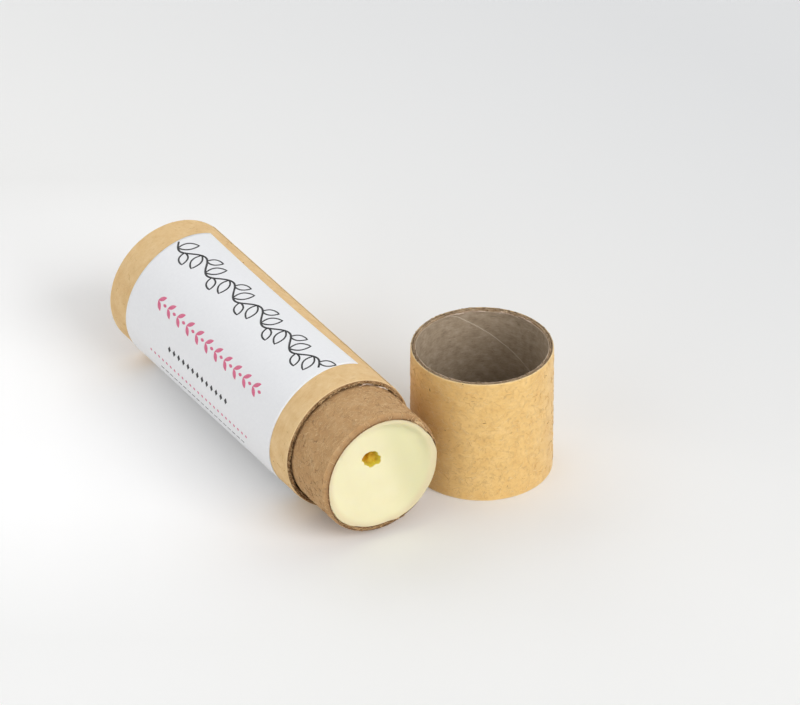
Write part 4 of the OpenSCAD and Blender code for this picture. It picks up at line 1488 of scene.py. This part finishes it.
dot = drawn("dot_mark", [([(DOT_R * math.cos(t), DOT_R * math.sin(t)) for t in DOT_TURNS],
                          [tuple(range(DOT_SIDES))])])
stitch = drawn("stitch_mark", [stroke([(-0.45, 0), (0.45, 0)], 0.24)])
print("marks drawn:", garland.name, leaf_pair.name, lozenge.name, dot.name, stitch.name)

# %% [markdown]
# Laser print on coated paper is toner: fine plastic powder, melted on. It looks dense and even, black
# or pink, a little mottled where it melted unevenly, with a slight sheen. It is so thin that its edge
# casts no shadow, but it needs some thickness here to stay over the paper.

# %% Print the rows
MOTTLE_MM = 0.4


def toner(name, deep, light):
    """Melted toner, mottled between two shades."""
    made, tree, shader = new_surface(name)
    place = add(tree, "ShaderNodeTexCoord", output="Object")
    mottle = add(tree, "ShaderNodeTexNoise", {"Vector": place, "Scale": 1 / (MOTTLE_MM * MM), "Detail": 3.0})
    colour = add(tree, "ShaderNodeMix", {"Factor": mottle, "A": linear(deep), "B": linear(light)},
                 data_type="RGBA")
    tree.links.new(colour, shader.inputs["Base Color"])
    shader.inputs["Roughness"].default_value = 0.42
    return made


black_toner = toner("toner_black", "#0f0f13", "#1b1b20")
pink_toner = toner("toner_pink", "#d4587f", "#e17a98")
INK = 0.012 * MM
INK_OVERLAP = 0.002 * MM
for name, mark, count, pitch, first, angle, finer, surface in (
        ("garland_print", garland, 5, GARLAND_PITCH, -48.1, -8.5, 0, black_toner),
        ("leaf_pair_print", leaf_pair, 11, 2.85, -41.6, -56.0, 1, pink_toner),
        ("lozenge_print", lozenge, 13, 1.42, -35.2, -84.0, 2, black_toner),
        ("dot_print", dot, 25, 1.2, -41.0, -100.5, 1, pink_toner),
        ("stitch_print", stitch, 19, 1.35, -38.5, -112.0, 1, black_toner)):
    row_mesh = run_recipe(name, printing, {
        "Count": count, "Pitch": pitch * MM, "Start": SHOULDER + first * MM,
        "Down": (LABEL_EDGE - math.radians(angle)) * TUBE_R, "Radius": TUBE_R + LABEL_T - INK_OVERLAP,
        "Edge angle": LABEL_EDGE, "Skew": LABEL_SKEW, "Ink": INK, "Finer": finer, "Surface": surface}, mark)
    row_mesh.transform(ON_TUBE)
    dress(finished_mesh(name, row_mesh), surface, "tube", "label_paper")

# %% [markdown]
# The object lies on a white table. One square is enough: it is so wide that no edge of it shows, and
# the lamps stand over it.

# %% Lay the table
TABLE_HALF = 3.0

table_mesh = bpy.data.meshes.new("table")
table_mesh.from_pydata([(-TABLE_HALF, -TABLE_HALF, 0), (TABLE_HALF, -TABLE_HALF, 0),
                        (TABLE_HALF, TABLE_HALF, 0), (-TABLE_HALF, TABLE_HALF, 0)], [], [(0, 1, 2, 3)])
table = bpy.data.objects.new("table", table_mesh)
bpy.context.scene.collection.objects.link(table)
print("the table is", 2 * TABLE_HALF, "m wide")

# %% [markdown]
# The table's top is white laminate, matt, so it shows no reflection, only soft shadows. Light and shade are
# painted on its white: it is painted a little greyer towards the back, where the light falls off, and paler
# on the left, where it lifts the object's shadow. More light would do that too, but it would also reach the
# object. So the table has a second tone, and at its far left a trace of painted glow, for the rays of the
# camera and of shiny and clear surfaces only.
# Directions on the table are azimuths, as for the camera, and their ranges are metres from the origin.

# %% Give the table its white
BACKWARDS = 193.4
FAR_PAINTED_SHADE = {"From Min": 0.01, "From Max": 0.12}
LEFT_PAINTED_LIGHT = {"From Min": -0.005, "From Max": 0.03}
LEFT_PAINTED_GLOW = {"From Min": 0.033, "From Max": 0.044, "To Max": 0.03}
PAINTED_LIGHT_BEGINS = {"From Min": -0.07, "From Max": -0.04}
PAINTED_LIGHT_FADES = {"From Min": 0.025, "From Max": 0.06, "To Min": 1.0, "To Max": 0.25}

table_top, table_tree, table_shader = new_surface("white_table_matt")
table_place = add(table_tree, "ShaderNodeTexCoord", output="Object")
camera_ray = add(table_tree, "ShaderNodeLightPath", output="Is Camera Ray")
looked_at = camera_ray
for kind in ("Is Glossy Ray", "Is Transmission Ray"):
    looked_at = add(table_tree, "ShaderNodeMath", {0: looked_at, 1: camera_ray.node.outputs[kind]},
                    operation="MAXIMUM")


def reach(azimuth):
    """How far a point of the table lies from the origin in the direction of an azimuth."""
    way = [round(share, 3) for share in direction(azimuth, 0.0)]
    return add(table_tree, "ShaderNodeVectorMath", {0: table_place, 1: way}, operation="DOT_PRODUCT",
               output="Value")


# painted shade: the white seen by the camera is greyer towards the back, where the light falls off
painted_shade_far = reach(math.radians(BACKWARDS))
painted_shade_far = add(table_tree, "ShaderNodeMapRange", {"Value": painted_shade_far, **FAR_PAINTED_SHADE})
# painted light: the white seen by the camera is paler on the left, over the object's shadow
leftwards = reach(CAMERA_AZIMUTH - math.pi / 2)
painted_light_left = add(table_tree, "ShaderNodeMapRange", {"Value": leftwards, **LEFT_PAINTED_LIGHT})
nearness = reach(CAMERA_AZIMUTH)
for limits in (PAINTED_LIGHT_BEGINS, PAINTED_LIGHT_FADES):
    share = add(table_tree, "ShaderNodeMapRange", {"Value": nearness, **limits})
    painted_light_left = add(table_tree, "ShaderNodeMath", {0: painted_light_left, 1: share}, operation="MULTIPLY")
table_seen = add(table_tree, "ShaderNodeMix", {
    "Factor": painted_shade_far, "A": linear("#f2f2f1"), "B": linear("#e1e2e3")}, data_type="RGBA")
table_seen = add(table_tree, "ShaderNodeMix", {
    "Factor": painted_light_left, "A": table_seen, "B": linear("#ffffff")}, data_type="RGBA")
table_tone = add(table_tree, "ShaderNodeMix", {
    "Factor": looked_at, "A": linear("#efeeec"), "B": table_seen}, data_type="RGBA")
table_tree.links.new(table_tone, table_shader.inputs["Base Color"])
# painted glow at the far left, seen only by the camera's rays and by shiny and clear surfaces
painted_glow = add(table_tree, "ShaderNodeMapRange", {"Value": leftwards, **LEFT_PAINTED_GLOW})
for share in (painted_light_left, looked_at):
    painted_glow = add(table_tree, "ShaderNodeMath", {0: painted_glow, 1: share}, operation="MULTIPLY")
table_tree.links.new(painted_glow, table_shader.inputs["Emission Strength"])
table_shader.inputs["Roughness"].default_value = 0.8
table_shader.inputs["Specular IOR Level"].default_value = 0.1
table.data.materials.append(table_top)
print("the table's material has", len(table_tree.nodes), "nodes")

# %% [markdown]
# A soft lamp stands low on the right with a wider one above it. Three wide weak ones stand behind, on
# the left and in front, as white walls would, so every side is lit and the shadows stay soft. A dim
# even room does the rest. A point lamp or a sun would draw hard shadows.

# %% Set the light
ROOM_BRIGHTNESS = 0.23


def softbox(name, azimuth, elevation, distance, size, watts):
    """A square lamp that looks at the object."""
    lamp = bpy.data.lights.new(name, "AREA")
    lamp.shape = "SQUARE"
    lamp.size = size
    lamp.energy = watts
    away = direction(math.radians(azimuth), math.radians(elevation))
    look_at_object(bpy.data.objects.new(name, lamp), away, distance)
    print(f"{name}: {size} m wide, {watts} W")


softbox("key", 104, 28, 1.8, 1.2, 20.5)
softbox("wide_key", 90, 35, 1.8, 2.0, 8.5)
softbox("back_light", 200, 30, 1.8, 2.0, 9.5)
softbox("left_light", 275, 30, 1.8, 2.0, 16.0)
softbox("front_light", 0, 20, 1.8, 2.0, 13.0)
room = bpy.data.worlds.new("bright_room")
room.use_nodes = True
room.node_tree.nodes["Background"].inputs["Color"].default_value = (ROOM_BRIGHTNESS,) * 3 + (1.0,)
bpy.context.scene.world = room
bpy.context.scene.view_settings.view_transform = "Standard"
